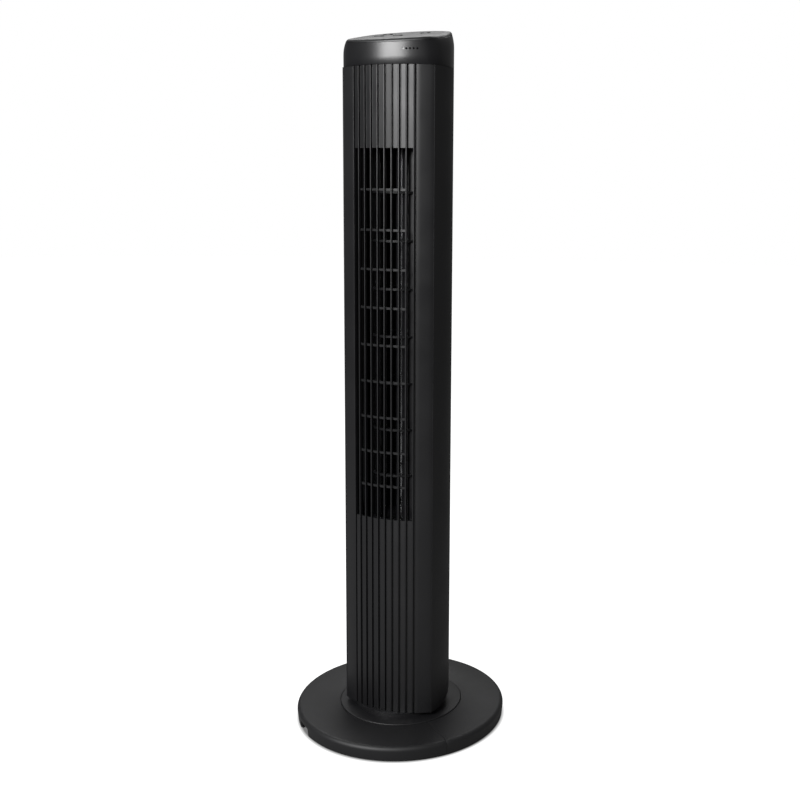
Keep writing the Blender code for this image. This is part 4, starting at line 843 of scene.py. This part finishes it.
def window_blocks(sizes):
    """Tools that open the window between the fins, the webs and the bars."""
    tools = []
    levels = [WINDOW_HIGH]
    for bar in range(1, sizes.bars + 1):
        middle = bar_level(sizes, bar / (sizes.bars + 1))
        levels += [middle + sizes.bar_height / 2, middle - sizes.bar_height / 2]
    levels.append(WINDOW_LOW)
    for number in range(sizes.strips):
        start, fin, _ = strip_turns(sizes, number)
        spans = list(zip(levels[0::2], levels[1::2]))
        if number in (0, sizes.strips - 1):
            spans = [(WINDOW_HIGH, WINDOW_LOW)]
        if number > 0:
            start -= sizes.groove_width / sizes.front_radius
        middle = (start + fin) / 2
        width = (fin - start) * sizes.front_radius - 2 * WEB_LEDGE
        x, y = front_at(sizes, middle, 0.002)
        for high, low in spans:
            tools.append(block("opening", (width, 0.012, high - low), (x, y, (high + low) / 2),
                               (0.0, 0.0, middle)))
    return gather(tools, "openings")


class FrontOperator(bpy.types.Operator):
    """Model the ribbed front panel with its window"""

    bl_idname = "tower_fan.front"
    bl_label = "Front panel"

    def execute(self, context):
        sizes = context.scene.tower_fan_sizes
        low = PANEL_LOW.z
        panel = draw_face("ribbed_front", [(x, y, low) for x, y in panel_section(sizes)])
        pick(panel, lambda v: len(v.link_edges) == 2 and v.calc_edge_angle(0.0) > math.radians(30.0))
        bpy.ops.mesh.bevel(offset=sizes.edge_soft, segments=3, affect="VERTICES")
        bpy.ops.mesh.select_all(action="SELECT")
        extrude((0.0, 0.0, PANEL_HIGH.z - low))
        face_outwards()
        deselect()
        cut(panel, window_blocks(sizes))
        finish_piece(panel, "panel_plastic", "column", ["front_panel"])
        return {"FINISHED"}


def housing_section(sizes):
    """Section of the rear housing: the outer face from right to left, and back along the inside."""
    start = corner_turn(sizes, 0.0, 0.0) + GAP / half_width()
    section = []
    for inset in (0.0, sizes.wall):
        right = half_plan(sizes, inset, start)
        whole = right + [(-x, y) for x, y in reversed(right[:-1])]
        section += whole if inset == 0.0 else list(reversed(whole))
    return section


def slot_tools(sizes):
    """One rounded slot, repeated across and up the grille."""
    row = (sizes.grille_high - sizes.grille_low) / sizes.slot_rows
    tall = row - sizes.slot_bridge
    tool = block("slot", (sizes.slot_width, 0.120, tall),
                 (-sizes.slot_pitch * (sizes.slot_columns - 1) / 2, 0.080, sizes.grille_low + row / 2))
    edit(tool)
    pick(tool, lambda e: abs((e.verts[0].co - e.verts[1].co).y) > 0.1, "EDGE")
    bpy.ops.mesh.bevel(offset=sizes.slot_width * 0.49, segments=6)
    deselect()
    modify(tool, "ARRAY", count=sizes.slot_columns, use_relative_offset=False, use_constant_offset=True,
           constant_offset_displace=(sizes.slot_pitch, 0.0, 0.0), use_merge_vertices=False)
    modify(tool, "ARRAY", count=sizes.slot_rows, use_relative_offset=False, use_constant_offset=True,
           constant_offset_displace=(0.0, 0.0, row), use_merge_vertices=False)
    return tool


GRIP_CORNER = 0.006                  # corners of the hand grip


def grip_block(sizes, name, extra, near, far):
    """Rounded block across the hand grip, from one depth to another."""
    middle = (GRIP_LOW.z + GRIP_HIGH.z) / 2
    tool = block(name, (sizes.grip_width + 2 * extra, far - near, sizes.grip_height + 2 * extra),
                 (0.0, (near + far) / 2, middle))
    edit(tool)
    pick(tool, lambda e: abs((e.verts[0].co - e.verts[1].co).y) > (far - near) / 2, "EDGE")
    bpy.ops.mesh.bevel(offset=GRIP_CORNER + extra, segments=8)
    deselect()
    return tool


class HousingOperator(bpy.types.Operator):
    """Model the rear housing with its intake slots"""

    bl_idname = "tower_fan.housing"
    bl_label = "Rear housing"

    def execute(self, context):
        sizes = context.scene.tower_fan_sizes
        low = HOUSING_LOW.z
        shell = draw_face("rear_shell", [(x, y, low) for x, y in housing_section(sizes)])
        steps = 6
        for _ in range(steps):
            extrude((0.0, 0.0, sizes.tuck_height / steps))
        extrude((0.0, 0.0, HOUSING_HIGH.z - low - sizes.tuck_height))
        face_outwards()
        self.tuck_foot(shell, sizes, low)
        deselect()
        cut(shell, slot_tools(sizes))
        cut(shell, grip_block(sizes, "grip_opening", 0.0, 0.0, 0.2))
        for number in range(1, 5):
            corner_low, corner_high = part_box(f"housing_screw_{number}")
            middle = (corner_low + corner_high) / 2
            cut(shell, rod("hole", 0.0019, (middle.x, 0.02, middle.z), (middle.x, 0.1, middle.z), 16))
        finish_piece(shell, "housing_plastic", "column", ["rear_housing"])
        return {"FINISHED"}

    def tuck_foot(self, shell, sizes, low):
        """Draw the foot of the housing in towards the axis, most at the bottom and the back."""
        data = bmesh.from_edit_mesh(shell.data)
        front = side_at(sizes, corner_turn(sizes, 0.0, 0.0), 0.0)[1]
        for corner in data.verts:
            share = max(0.0, 1 - (corner.co.z - low) / sizes.tuck_height)
            blend = min(1.0, max(0.0, (corner.co.y - front) / (-sizes.widest_ahead - front)))
            pull = sizes.tuck_depth * share ** 2 * blend
            centre = Vector((0.0, min(corner.co.y, 0.0), corner.co.z))
            away = corner.co - centre
            if away.length > pull:
                corner.co -= away.normalized() * pull
        bmesh.update_edit_mesh(shell.data)


class GripOperator(bpy.types.Operator):
    """Model the pocket behind the hand grip"""

    bl_idname = "tower_fan.grip"
    bl_label = "Grip cup"

    def execute(self, context):
        sizes = context.scene.tower_fan_sizes
        wide = GRIP_HIGH.x
        front = GRIP_LOW.y
        inset = sizes.wall + GAP
        steps = 16
        outline = [(wide, front)]
        for i in range(steps + 1):
            x = wide * (1 - 2 * i / steps)
            outline.append((x, back_depth(sizes, x, inset)))
        outline.append((-wide, front))
        cup = draw_face("grip_pocket", [(x, y, GRIP_LOW.z) for x, y in outline])
        extrude((0.0, 0.0, GRIP_HIGH.z - GRIP_LOW.z))
        face_outwards()
        deselect()
        cut(cup, grip_block(sizes, "grip_hollow", 0.0006, front + 0.002, 0.2))
        finish_piece(cup, "inner_plastic", "column", ["grip_cup"])
        return {"FINISHED"}


# ---------------------------------------------------------------- head

HEAD_SLOPE = math.atan(0.2203)
HEAD_TOP = 0.9781                    # height of the sloping top above the column's axis
UP_SLOPE = Vector((0.0, -math.sin(HEAD_SLOPE), math.cos(HEAD_SLOPE)))
COVER_FRAME = Matrix.Translation((0.0, 0.0, HEAD_TOP)) @ Matrix.Rotation(HEAD_SLOPE, 4, "X")
BUTTONS = {
    "power": (-0.0290, -0.0121),
    "speed": (-0.0295, 0.0176),
    "swing": (-0.0006, -0.0115),
    "timer": (0.0258, 0.0197),
}
RECEIVER = (0.0026, 0.0279)
SHOULDER_START = 0.05324             # the head's sides start to roll in this far from its middle


def on_cover(x, y):
    """Plan position to a position in the cover's own frame."""
    return (x, y / math.cos(HEAD_SLOPE))


def slice_off(height, keep_below=True):
    """Cut the piece being edited along the slope, at a height above the axis."""
    bpy.ops.mesh.select_all(action="SELECT")
    bpy.ops.mesh.bisect(plane_co=(0.0, 0.0, height), plane_no=UP_SLOPE, use_fill=True,
                        clear_outer=keep_below, clear_inner=not keep_below)


def pill(long, wide, centre, z, steps=10):
    """Outline with round ends, lying along X."""
    radius = wide / 2
    points = []
    for side in (1, -1):
        for i in range(steps + 1):
            angle = math.pi * i / steps - side * math.pi / 2
            points.append((centre[0] + side * (long / 2 - radius) + radius * math.cos(angle),
                           centre[1] + radius * math.sin(angle), z))
    return points


def roll_shoulders(piece, sizes, drops):
    """Ring the piece at each drop below the slope, then draw its sides in towards the top."""
    edit(piece)
    for drop in drops:
        bpy.ops.mesh.select_all(action="SELECT")
        bpy.ops.mesh.bisect(plane_co=(0.0, 0.0, HEAD_TOP - drop), plane_no=UP_SLOPE)
    data = bmesh.from_edit_mesh(piece.data)
    outer = half_width()
    for corner in data.verts:
        drop = HEAD_TOP + math.tan(HEAD_SLOPE) * corner.co.y - corner.co.z
        rise = min(1.0, max(0.0, 1 - drop / sizes.shoulder_drop))
        pull = sizes.shoulder_width * (1 - math.sqrt(1 - rise ** 2))
        share = max(0.0, (abs(corner.co.x) - SHOULDER_START) / (outer - SHOULDER_START))
        corner.co.x -= math.copysign(pull * share ** 1.5, corner.co.x)
    bmesh.update_edit_mesh(piece.data)
    deselect()


SHELL_ROUND = 0.0003                 # edges of the head's wall
SHELL_FIRST_DROP = 0.0050            # first cut under the top that lets the shoulder roll
SHELL_DROP_STEP = 0.0017
SHELL_DROPS = 11
COVER_ROUND = 0.0034                 # rolled edge of the sloping cover
COVER_DROP = 0.0033


class HeadOperator(bpy.types.Operator):
    """Model the head's shell and its sloping cover"""

    bl_idname = "tower_fan.head"
    bl_label = "Head"

    def execute(self, context):
        sizes = context.scene.tower_fan_sizes
        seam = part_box("head_shell")[0].z
        plan = [(x, y, seam) for x, y in head_plan(sizes, sizes.fin_proud, 0.0)]
        self.shell(sizes, plan, seam)
        self.cover(sizes, plan, seam)
        return {"FINISHED"}

    def shell(self, sizes, plan, seam):
        """Upright wall of the head, with the lamp holes."""
        shell = draw_face("head_wall", plan)
        extrude((0.0, 0.0, 0.1))
        slice_off(HEAD_TOP - sizes.cover_thickness - GAP)
        face_outwards()
        pick(shell, lambda f: abs(f.normal.z) > 0.9, "FACE")
        bpy.ops.mesh.delete(type="ONLY_FACE")
        roll_shoulders(shell, sizes, [SHELL_FIRST_DROP + SHELL_DROP_STEP * i for i in range(SHELL_DROPS)])
        modify(shell, "SOLIDIFY", thickness=sizes.wall, offset=-1.0, use_even_offset=True)
        edit(shell)
        pick(shell, lambda e: e.calc_face_angle(0.0) > math.radians(60.0), "EDGE")
        bpy.ops.mesh.bevel(offset=SHELL_ROUND, segments=2)
        deselect()
        for x, y in lamp_places(sizes):
            z = lamp_height()
            out = outward(sizes, x, y) * 0.01
            cut(shell, rod("hole", sizes.lamp_radius, Vector((x, y, z)) + out, Vector((x, y, z)) - out, 24))
        finish_piece(shell, "head_plastic", "column", ["head_shell"])

    def cover(self, sizes, plan, seam):
        """Sloping cover with a rolled edge, four button openings and the receiver's hole."""
        cover = draw_face("sloping_cover", plan)
        extrude((0.0, 0.0, 0.1))
        slice_off(HEAD_TOP - sizes.cover_thickness, keep_below=False)
        slice_off(HEAD_TOP)
        face_outwards()
        pick(cover, lambda e: all((v.co - Vector((0.0, 0.0, HEAD_TOP))).dot(UP_SLOPE) > -1e-5
                                  for v in e.verts), "EDGE")
        bpy.ops.mesh.bevel(offset=COVER_ROUND, segments=6)
        roll_shoulders(cover, sizes, [COVER_DROP])
        tools = []
        for x, y in BUTTONS.values():
            tool = draw_face("hole", pill(sizes.button_length, sizes.button_width, on_cover(x, y), -0.02))
            extrude((0.0, 0.0, 0.04))
            face_outwards()
            tools.append(place(tool, COVER_FRAME))
        x, y = on_cover(*RECEIVER)
        tools.append(place(rod("hole", 0.0020, (x, y, -0.02), (x, y, 0.02)), COVER_FRAME))
        cut(cover, gather(tools, "holes"))
        posts = []
        for x in (-0.042, 0.042):
            for y in (-0.020, 0.028):
                posts.append(place(rod("post", 0.003, (x, y, -0.0122), (x, y, -0.002), 24), COVER_FRAME))
        cut(cover, gather(posts, "posts"), "UNION")
        finish_piece(cover, "cover_plastic", "column", ["top_cover"])


def outward(sizes, x, y):
    """Direction square to the head's curved front at a plan position."""
    return Vector((x, y - front_centre(sizes), 0.0)).normalized()


def lamp_height():
    low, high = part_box("lamp_guide")
    return (low.z + high.z) / 2


def lamp_places(sizes):
    """Plan positions of the lamps on the head's front."""
    low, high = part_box("lamp_guide")
    radius = sizes.front_radius - sizes.fin_proud
    places = []
    for i in range(sizes.lamps):
        x = (low.x + high.x) / 2 + sizes.lamp_pitch * (i - (sizes.lamps - 1) / 2)
        places.append((x, front_centre(sizes) - math.sqrt(radius ** 2 - x ** 2)))
    return places


LAMP_SUNK = 0.0012                   # the lamp lenses end this far behind the head's face


class LampsOperator(bpy.types.Operator):
    """Model the row of lamp lenses with their carrier, and the receiver's lens"""

    bl_idname = "tower_fan.lamps"
    bl_label = "Lamps and receiver"

    def execute(self, context):
        sizes = context.scene.tower_fan_sizes
        low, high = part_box("lamp_guide")
        z = lamp_height()
        places = lamp_places(sizes)
        back = places[-1][1] + sizes.wall + GAP
        carrier = block("lamp_lenses", (high.x - low.x, high.y - back - 0.0008, high.z - low.z),
                        ((low.x + high.x) / 2, (high.y + back + 0.0008) / 2, z))
        for x, y in places:
            out = outward(sizes, x, y)
            face = Vector((x, y, z)) - out * LAMP_SUNK
            pin = rod("pin", sizes.lamp_radius - GAP / 2, face, face - out * (high.y - y - 0.001), 24)
            cut(carrier, pin, "UNION")
        finish_piece(carrier, "lamp_acrylic", "column", ["lamp_guide"])
        x, y = on_cover(*RECEIVER)
        profile = [(0.0, -0.007), (0.0017, -0.007), (0.0017, -0.0004), (0.0015, -0.0001), (0.0, 0.0)]
        lens = turned("receiver_window", profile, 32)
        deselect()
        place(lens, COVER_FRAME @ Matrix.Translation((x, y, 0.0)))
        finish_piece(lens, "receiver_acrylic", "column", ["receiver_lens"])
        return {"FINISHED"}


FLANGE_REACH = 0.001                 # how far a button's rim reaches under the cover
BUTTON_ROUND = 0.00025


class ButtonsOperator(bpy.types.Operator):
    """Model the four buttons and the marks printed on them"""

    bl_idname = "tower_fan.buttons"
    bl_label = "Buttons"

    def execute(self, context):
        sizes = context.scene.tower_fan_sizes
        depth = sizes.cover_thickness * math.cos(HEAD_SLOPE)
        low = -depth - GAP - sizes.button_flange
        for name, (x, y) in BUTTONS.items():
            centre = on_cover(x, y)
            outline = pill(sizes.button_length + 2 * FLANGE_REACH, sizes.button_width + 2 * FLANGE_REACH,
                           centre, low)
            button = draw_face(f"{name}_button", outline)
            extrude((0.0, 0.0, sizes.button_flange))
            bpy.ops.mesh.inset(thickness=FLANGE_REACH + GAP)
            extrude((0.0, 0.0, sizes.button_proud - low - sizes.button_flange))
            bpy.ops.mesh.inset(thickness=0.0003)
            extrude((0.0, 0.0, 0.00001))
            face_outwards()
            pick(button, lambda e: all(abs(v.co.z - sizes.button_proud) < 1e-6 for v in e.verts)
                 and len(e.link_faces) == 2 and e.calc_face_angle(0.0) > 1.0, "EDGE")
            bpy.ops.mesh.bevel(offset=BUTTON_ROUND, segments=3)
            deselect()
            place(button, COVER_FRAME)
            finish_piece(button, "button_plastic", f"{name}_button", [f"button_{name}"])
            mark = getattr(self, f"{name}_mark")(centre, sizes.button_proud)
            place(mark, COVER_FRAME)
            finish_piece(mark, "button_plastic", f"{name}_button", [])
            mark.data.materials[0] = FINISHES["legend_ink"]
        return {"FINISHED"}

    def ring(self, centre, z, radius, line=0.00045, sweep=2 * math.pi, start=0.0):
        """Flat printed ring or arc."""
        profile = [(radius, 0.0), (radius + line, 0.0), (radius + line, 0.00008), (radius, 0.00008)]
        piece = turned("ring", profile, 32, start, sweep)
        deselect()
        return place(piece, Matrix.Translation((centre[0], centre[1], z + 0.00002)))

    def bar(self, centre, z, across, up, wide, tall, turn=0.0):
        """Flat printed bar with its middle at an offset from the button's centre."""
        return block("bar", (wide, tall, 0.00008), (centre[0] + across, centre[1] + up, z + 0.00006),
                     (0.0, 0.0, turn))

    def power_mark(self, centre, z):
        """An open ring with a stroke at its top."""
        gap = math.radians(35.0)
        ring = self.ring(centre, z, 0.0019, sweep=2 * math.pi - 2 * gap, start=math.pi + gap)
        return gather([ring, self.bar(centre, z, 0.0, 0.0019, 0.00045, 0.0019)], "power_print")

    def speed_mark(self, centre, z):
        """Three bars that rise from left to right."""
        bars = []
        for i in range(3):
            across, up, tall = -0.0020 + 0.0020 * i, -0.0020 + 0.0007 * (i + 1), 0.0014 * (i + 1)
            bars.append(self.bar(centre, z, across, up, 0.0010, tall))
        return gather(bars, "speed_print")

    def swing_mark(self, centre, z):
        """An arc with a short bar across each end."""
        arc = self.ring((centre[0], centre[1] + 0.0010), z, 0.0026, sweep=math.radians(120.0),
                        start=math.radians(-60.0))
        ends = [self.bar(centre, z, side * 0.0024, -0.0002, 0.0016, 0.00045, side * math.radians(-30.0))
                for side in (-1, 1)]
        return gather([arc] + ends, "swing_print")

    def timer_mark(self, centre, z):
        """A ring with two hands."""
        pieces = [self.ring(centre, z, 0.0020), self.bar(centre, z, 0.0, 0.0006, 0.00040, 0.0016),
                  self.bar(centre, z, 0.0005, 0.0, 0.0012, 0.00040)]
        return gather(pieces, "timer_print")


# ---------------------------------------------------------------- air mover and screws

SHAFT_HOLE_RADIUS = 0.0043
BLADE_INSET = 0.0004                 # blades stay this far inside the rings' rim
BLADE_END = 0.0005                   # and this far short of the wheel's ends


class ImpellerOperator(bpy.types.Operator):
    """Model the cross-flow impeller: rings joined by curved blades"""

    bl_idname = "tower_fan.impeller"
    bl_label = "Impeller"

    def execute(self, context):
        sizes = context.scene.tower_fan_sizes
        axis = (IMPELLER_LOW + IMPELLER_HIGH) / 2
        radius = (IMPELLER_HIGH.x - IMPELLER_LOW.x) / 2
        ring_height = 0.003
        section = (IMPELLER_HIGH.z - IMPELLER_LOW.z - ring_height) / sizes.sections
        pieces = []
        inner = radius - sizes.blade_depth
        for i in range(sizes.sections + 1):
            low = IMPELLER_LOW.z + section * i
            hole = SHAFT_HOLE_RADIUS if i in (0, sizes.sections) else inner
            profile = [(hole, low), (radius, low), (radius, low + ring_height), (hole, low + ring_height)]
            ring = turned(f"ring_{i}", profile, 56)
            deselect()
            pieces.append(place(ring, Matrix.Translation((0.0, axis.y, 0.0))))
        blade = self.blade(sizes, inner, radius - BLADE_INSET,
                           IMPELLER_LOW.z + BLADE_END, IMPELLER_HIGH.z - BLADE_END)
        for i in range(sizes.blades):
            turn = Matrix.Rotation(2 * math.pi * i / sizes.blades, 4, "Z")
            pieces.append(copy_piece(blade, f"blade_{i}", Matrix.Translation((0.0, axis.y, 0.0)) @ turn))
        bpy.data.objects.remove(blade, do_unlink=True)
        wheel = gather(pieces, "crossflow_wheel")
        finish_piece(wheel, "inner_plastic", "impeller", ["impeller"])
        return {"FINISHED"}

    def blade(self, sizes, inner, outer, low, high):
        """One forward-curved blade, thinner at both of its long edges."""
        steps = 5
        front = []
        back = []
        for i in range(steps + 1):
            share = i / steps
            reach = inner + (outer - inner) * share
            lean = 0.16 * share ** 2 - 0.05 * share
            thick = (0.0004 + 0.0008 * math.sin(math.pi * share)) / 2 / reach
            front.append((*polar(reach, lean + thick), low))
            back.append((*polar(reach, lean - thick), low))
        blade = draw_face("blade", front + list(reversed(back)))
        extrude((0.0, 0.0, high - low))
        face_outwards()
        deselect()
        return blade


def build_screw(name, head_radius, shank_radius, head_height, long):
    """Pan-head screw with a cross recess; its head's top is at the origin, facing +Z."""
    profile = [(0.0, 0.0)]
    for i in range(1, 7):
        angle = math.pi / 2 * i / 6
        profile.append((head_radius * math.sin(angle), -0.6 * head_height * (1 - math.cos(angle))))
    profile += [(head_radius, -head_height), (shank_radius, -head_height),
                (shank_radius, -long), (0.0, -long)]
    screw = turned(name, profile, 36)
    deselect()
    deep = 0.6 * head_height
    arm = (1.15 * head_radius, 0.24 * head_radius, 2 * deep)
    arms = [block("arm", arm, (0.0, 0.0, 0.0), (0.0, 0.0, turn)) for turn in (0.0, math.pi / 2)]
    cut(arms[0], arms[1], "UNION")
    cut(screw, arms[0])
    return screw


class ScrewsOperator(bpy.types.Operator):
    """Model the screws of the base, the neck and the housing"""

    bl_idname = "tower_fan.screws"
    bl_label = "Screws"

    def execute(self, context):
        down = Matrix.Rotation(math.pi, 4, "X")
        rearward = Matrix.Rotation(-math.pi / 2, 4, "X")
        for family, total, body, slot_name in (("hub_screw", 4, "base", "screw_steel"),
                                               ("retainer_screw", 3, "column", "screw_steel"),
                                               ("housing_screw", 4, "column", "screw_steel")):
            low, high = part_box(f"{family}_1")
            to_rear = family == "housing_screw"
            long = (high.y - low.y) if to_rear else (high.z - low.z)
            head_radius = (high.x - low.x) / 2
            master = build_screw("screw_master", head_radius, head_radius / 2, head_radius / 2, long)
            for number in range(1, total + 1):
                low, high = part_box(f"{family}_{number}")
                middle = (low + high) / 2
                if to_rear:
                    where = Matrix.Translation((middle.x, high.y, middle.z)) @ rearward
                else:
                    where = Matrix.Translation((middle.x, middle.y, low.z)) @ down
                screw = copy_piece(master, f"cross_{family}_{number}",
                                   where @ Matrix.Rotation(math.radians(25.0 * number), 4, "Z"))
                finish_piece(screw, slot_name, body, [f"{family}_{number}"])
            bpy.data.objects.remove(master, do_unlink=True)
        return {"FINISHED"}


# ---------------------------------------------------------------- stage

def soft_light(name, size_x, size_y, power, where, target):
    """Rectangular soft box aimed at a point."""
    deselect()
    bpy.ops.object.light_add(type="AREA", location=where)
    lamp = bpy.context.object
    lamp.name = name
    lamp.data.shape = "RECTANGLE"
    lamp.data.size = size_x
    lamp.data.size_y = size_y
    lamp.data.energy = power
    lamp.rotation_euler = (Vector(target) - Vector(where)).to_track_quat("-Z", "Y").to_euler()
    return lamp


PAPER_GLOW = 1.0
PAINTED_SHADOW_RADII = (0.1485, 0.1555)        # radii where the glow starts and reaches its full strength; inside them the floor is left dark, a painted shadow under the base
AIR_SEEN = 1.0
AIR_ON_FAN = 0.18
FLOOR_RADIUS = 12.0
CAMERA_PLACE = (0.64871, -1.35459, 0.76)
CAMERA_HEADING = math.radians(109.9255)
CAMERA_DIP = math.radians(8.8351)
CAMERA_ROLL = math.radians(0.9585)
CAMERA_LENS = 47.762
CAMERA_SHIFT = (-0.13198, -0.045)
# Width, height, watts, position and aim of each soft box
KEY_BOX = (1.25, 1.1, 84.0, (-0.52, -2.15, 1.62), (0.0, 0.0, 0.90))
TOP_BOX = (2.2, 1.6, 38.0, (-0.9, 1.4, 2.9), (0.0, 0.0, 0.4))


class StageOperator(bpy.types.Operator):
    """Set the pale floor, the soft light and the camera"""

    bl_idname = "tower_fan.stage"
    bl_label = "Stage"

    def execute(self, context):
        tones = context.scene.tower_fan_colours
        deselect()
        bpy.ops.mesh.primitive_circle_add(vertices=96, radius=FLOOR_RADIUS, fill_type="NGON",
                                          location=(0.0, 0.0, 0.0))
        ground = bpy.context.object
        ground.name = "studio_floor"
        material, tree, shader, where = start_finish("paper_sweep_painted_shadow", tones.floor, 0.9)
        vary_colour(tree, shader, tones.floor, 0.01, 0.5, where)
        # The sweep glows white except under the base, where the missing glow is a painted shadow
        self.whiten(tree, shader)
        ground.data.materials.append(material)
        self.light(context)
        self.camera(context)
        return {"FINISHED"}

    def whiten(self, tree, shader):
        """White sweep: glows for the camera alone, so it reads white and throws little light on the fan.
        The glow fades out under the base, which paints a shadow there.
        """
        place = add_node(tree, "ShaderNodeTexCoord").outputs["Object"]
        reach = add_node(tree, "ShaderNodeVectorMath", operation="LENGTH")
        tree.links.new(place, reach.inputs[0])
        # Painted shadow: no glow inside these radii, so the floor reads dark under the base and through the
        # cord notch
        near, far = PAINTED_SHADOW_RADII
        level = add_node(tree, "ShaderNodeMapRange", {"Value": reach.outputs["Value"],
                                                      "From Min": near, "From Max": far,
                                                      "To Min": 0.0, "To Max": PAPER_GLOW})
        glow = add_node(tree, "ShaderNodeEmission", {"Color": (1.0, 1.0, 1.0, 1.0),
                                                     "Strength": level.outputs["Result"]})
        path = add_node(tree, "ShaderNodeLightPath")
        seen = add_node(tree, "ShaderNodeMixShader", {"Fac": path.outputs["Is Camera Ray"]})
        both = add_node(tree, "ShaderNodeAddShader")
        tree.links.new(shader.outputs["BSDF"], both.inputs[0])
        tree.links.new(glow.outputs["Emission"], both.inputs[1])
        tree.links.new(shader.outputs["BSDF"], seen.inputs[1])
        tree.links.new(both.outputs["Shader"], seen.inputs[2])
        tree.links.new(seen.outputs["Shader"], tree.nodes["Material Output"].inputs["Surface"])

    def light(self, context):
        """Air that the camera sees white, a soft box ahead of the fan and a wide one above."""
        world = bpy.data.worlds.new("studio_air")
        world.use_nodes = True
        context.scene.world = world
        tree = world.node_tree
        air = tree.nodes["Background"]
        path = add_node(tree, "ShaderNodeLightPath")
        level = add_node(tree, "ShaderNodeMapRange", {"Value": path.outputs["Is Camera Ray"],
                                                      "To Min": AIR_ON_FAN, "To Max": AIR_SEEN})
        air.inputs["Color"].default_value = (1.0, 1.0, 1.0, 1.0)
        tree.links.new(level.outputs["Result"], air.inputs["Strength"])
        soft_light("key_box", *KEY_BOX)
        soft_light("top_box", *TOP_BOX)

    def camera(self, context):
        """Camera at chest height, to the right of the fan's front."""
        turn = (Matrix.Rotation(CAMERA_HEADING - math.pi / 2, 4, "Z")
                @ Matrix.Rotation(math.pi / 2 - CAMERA_DIP, 4, "X"))
        deselect()
        bpy.ops.object.camera_add(location=CAMERA_PLACE)
        camera = bpy.context.object
        camera.name = "studio_camera"
        roll = Matrix.Rotation(CAMERA_ROLL, 4, "Z")
        camera.matrix_world = Matrix.Translation(camera.location) @ turn @ roll
        camera.data.sensor_width = 36.0
        camera.data.lens = CAMERA_LENS
        camera.data.shift_x, camera.data.shift_y = CAMERA_SHIFT
        camera.data.clip_start = 0.05
        camera.data.clip_end = 50.0
        context.scene.camera = camera
        context.scene.view_settings.view_transform = "Standard"


# ---------------------------------------------------------------- sidebar and start

STEPS = (FinishesOperator, BaseOperator, FeetOperator, HubOperator, FrontOperator, HousingOperator,
         GripOperator, HeadOperator, LampsOperator, ButtonsOperator, ImpellerOperator, ScrewsOperator,
         StageOperator)


class FanSidebar(bpy.types.Panel):
    """Sizes, colours and one button for each piece"""

    bl_idname = "VIEW3D_PT_tower_fan"
    bl_label = "Tower Fan"
    bl_space_type = "VIEW_3D"
    bl_region_type = "UI"
    bl_category = "Tower Fan"

    def draw(self, context):
        for group in (context.scene.tower_fan_sizes, context.scene.tower_fan_colours):
            box = self.layout.box()
            for name in group.__annotations__:
                box.prop(group, name)
        for step in STEPS:
            self.layout.operator(step.bl_idname)


CLASSES = (FanSizes, FanColours, *STEPS, FanSidebar)


def register():
    for item in CLASSES:
        bpy.utils.register_class(item)
    bpy.types.Scene.tower_fan_sizes = PointerProperty(type=FanSizes)
    bpy.types.Scene.tower_fan_colours = PointerProperty(type=FanColours)


def unregister():
    del bpy.types.Scene.tower_fan_sizes
    del bpy.types.Scene.tower_fan_colours
    for item in reversed(CLASSES):
        bpy.utils.unregister_class(item)


def main():
    register()
    deselect()
    for step in STEPS:
        group, name = step.bl_idname.split(".")
        getattr(getattr(bpy.ops, group), name)()
    deselect()


if __name__ == "__main__":
    main()
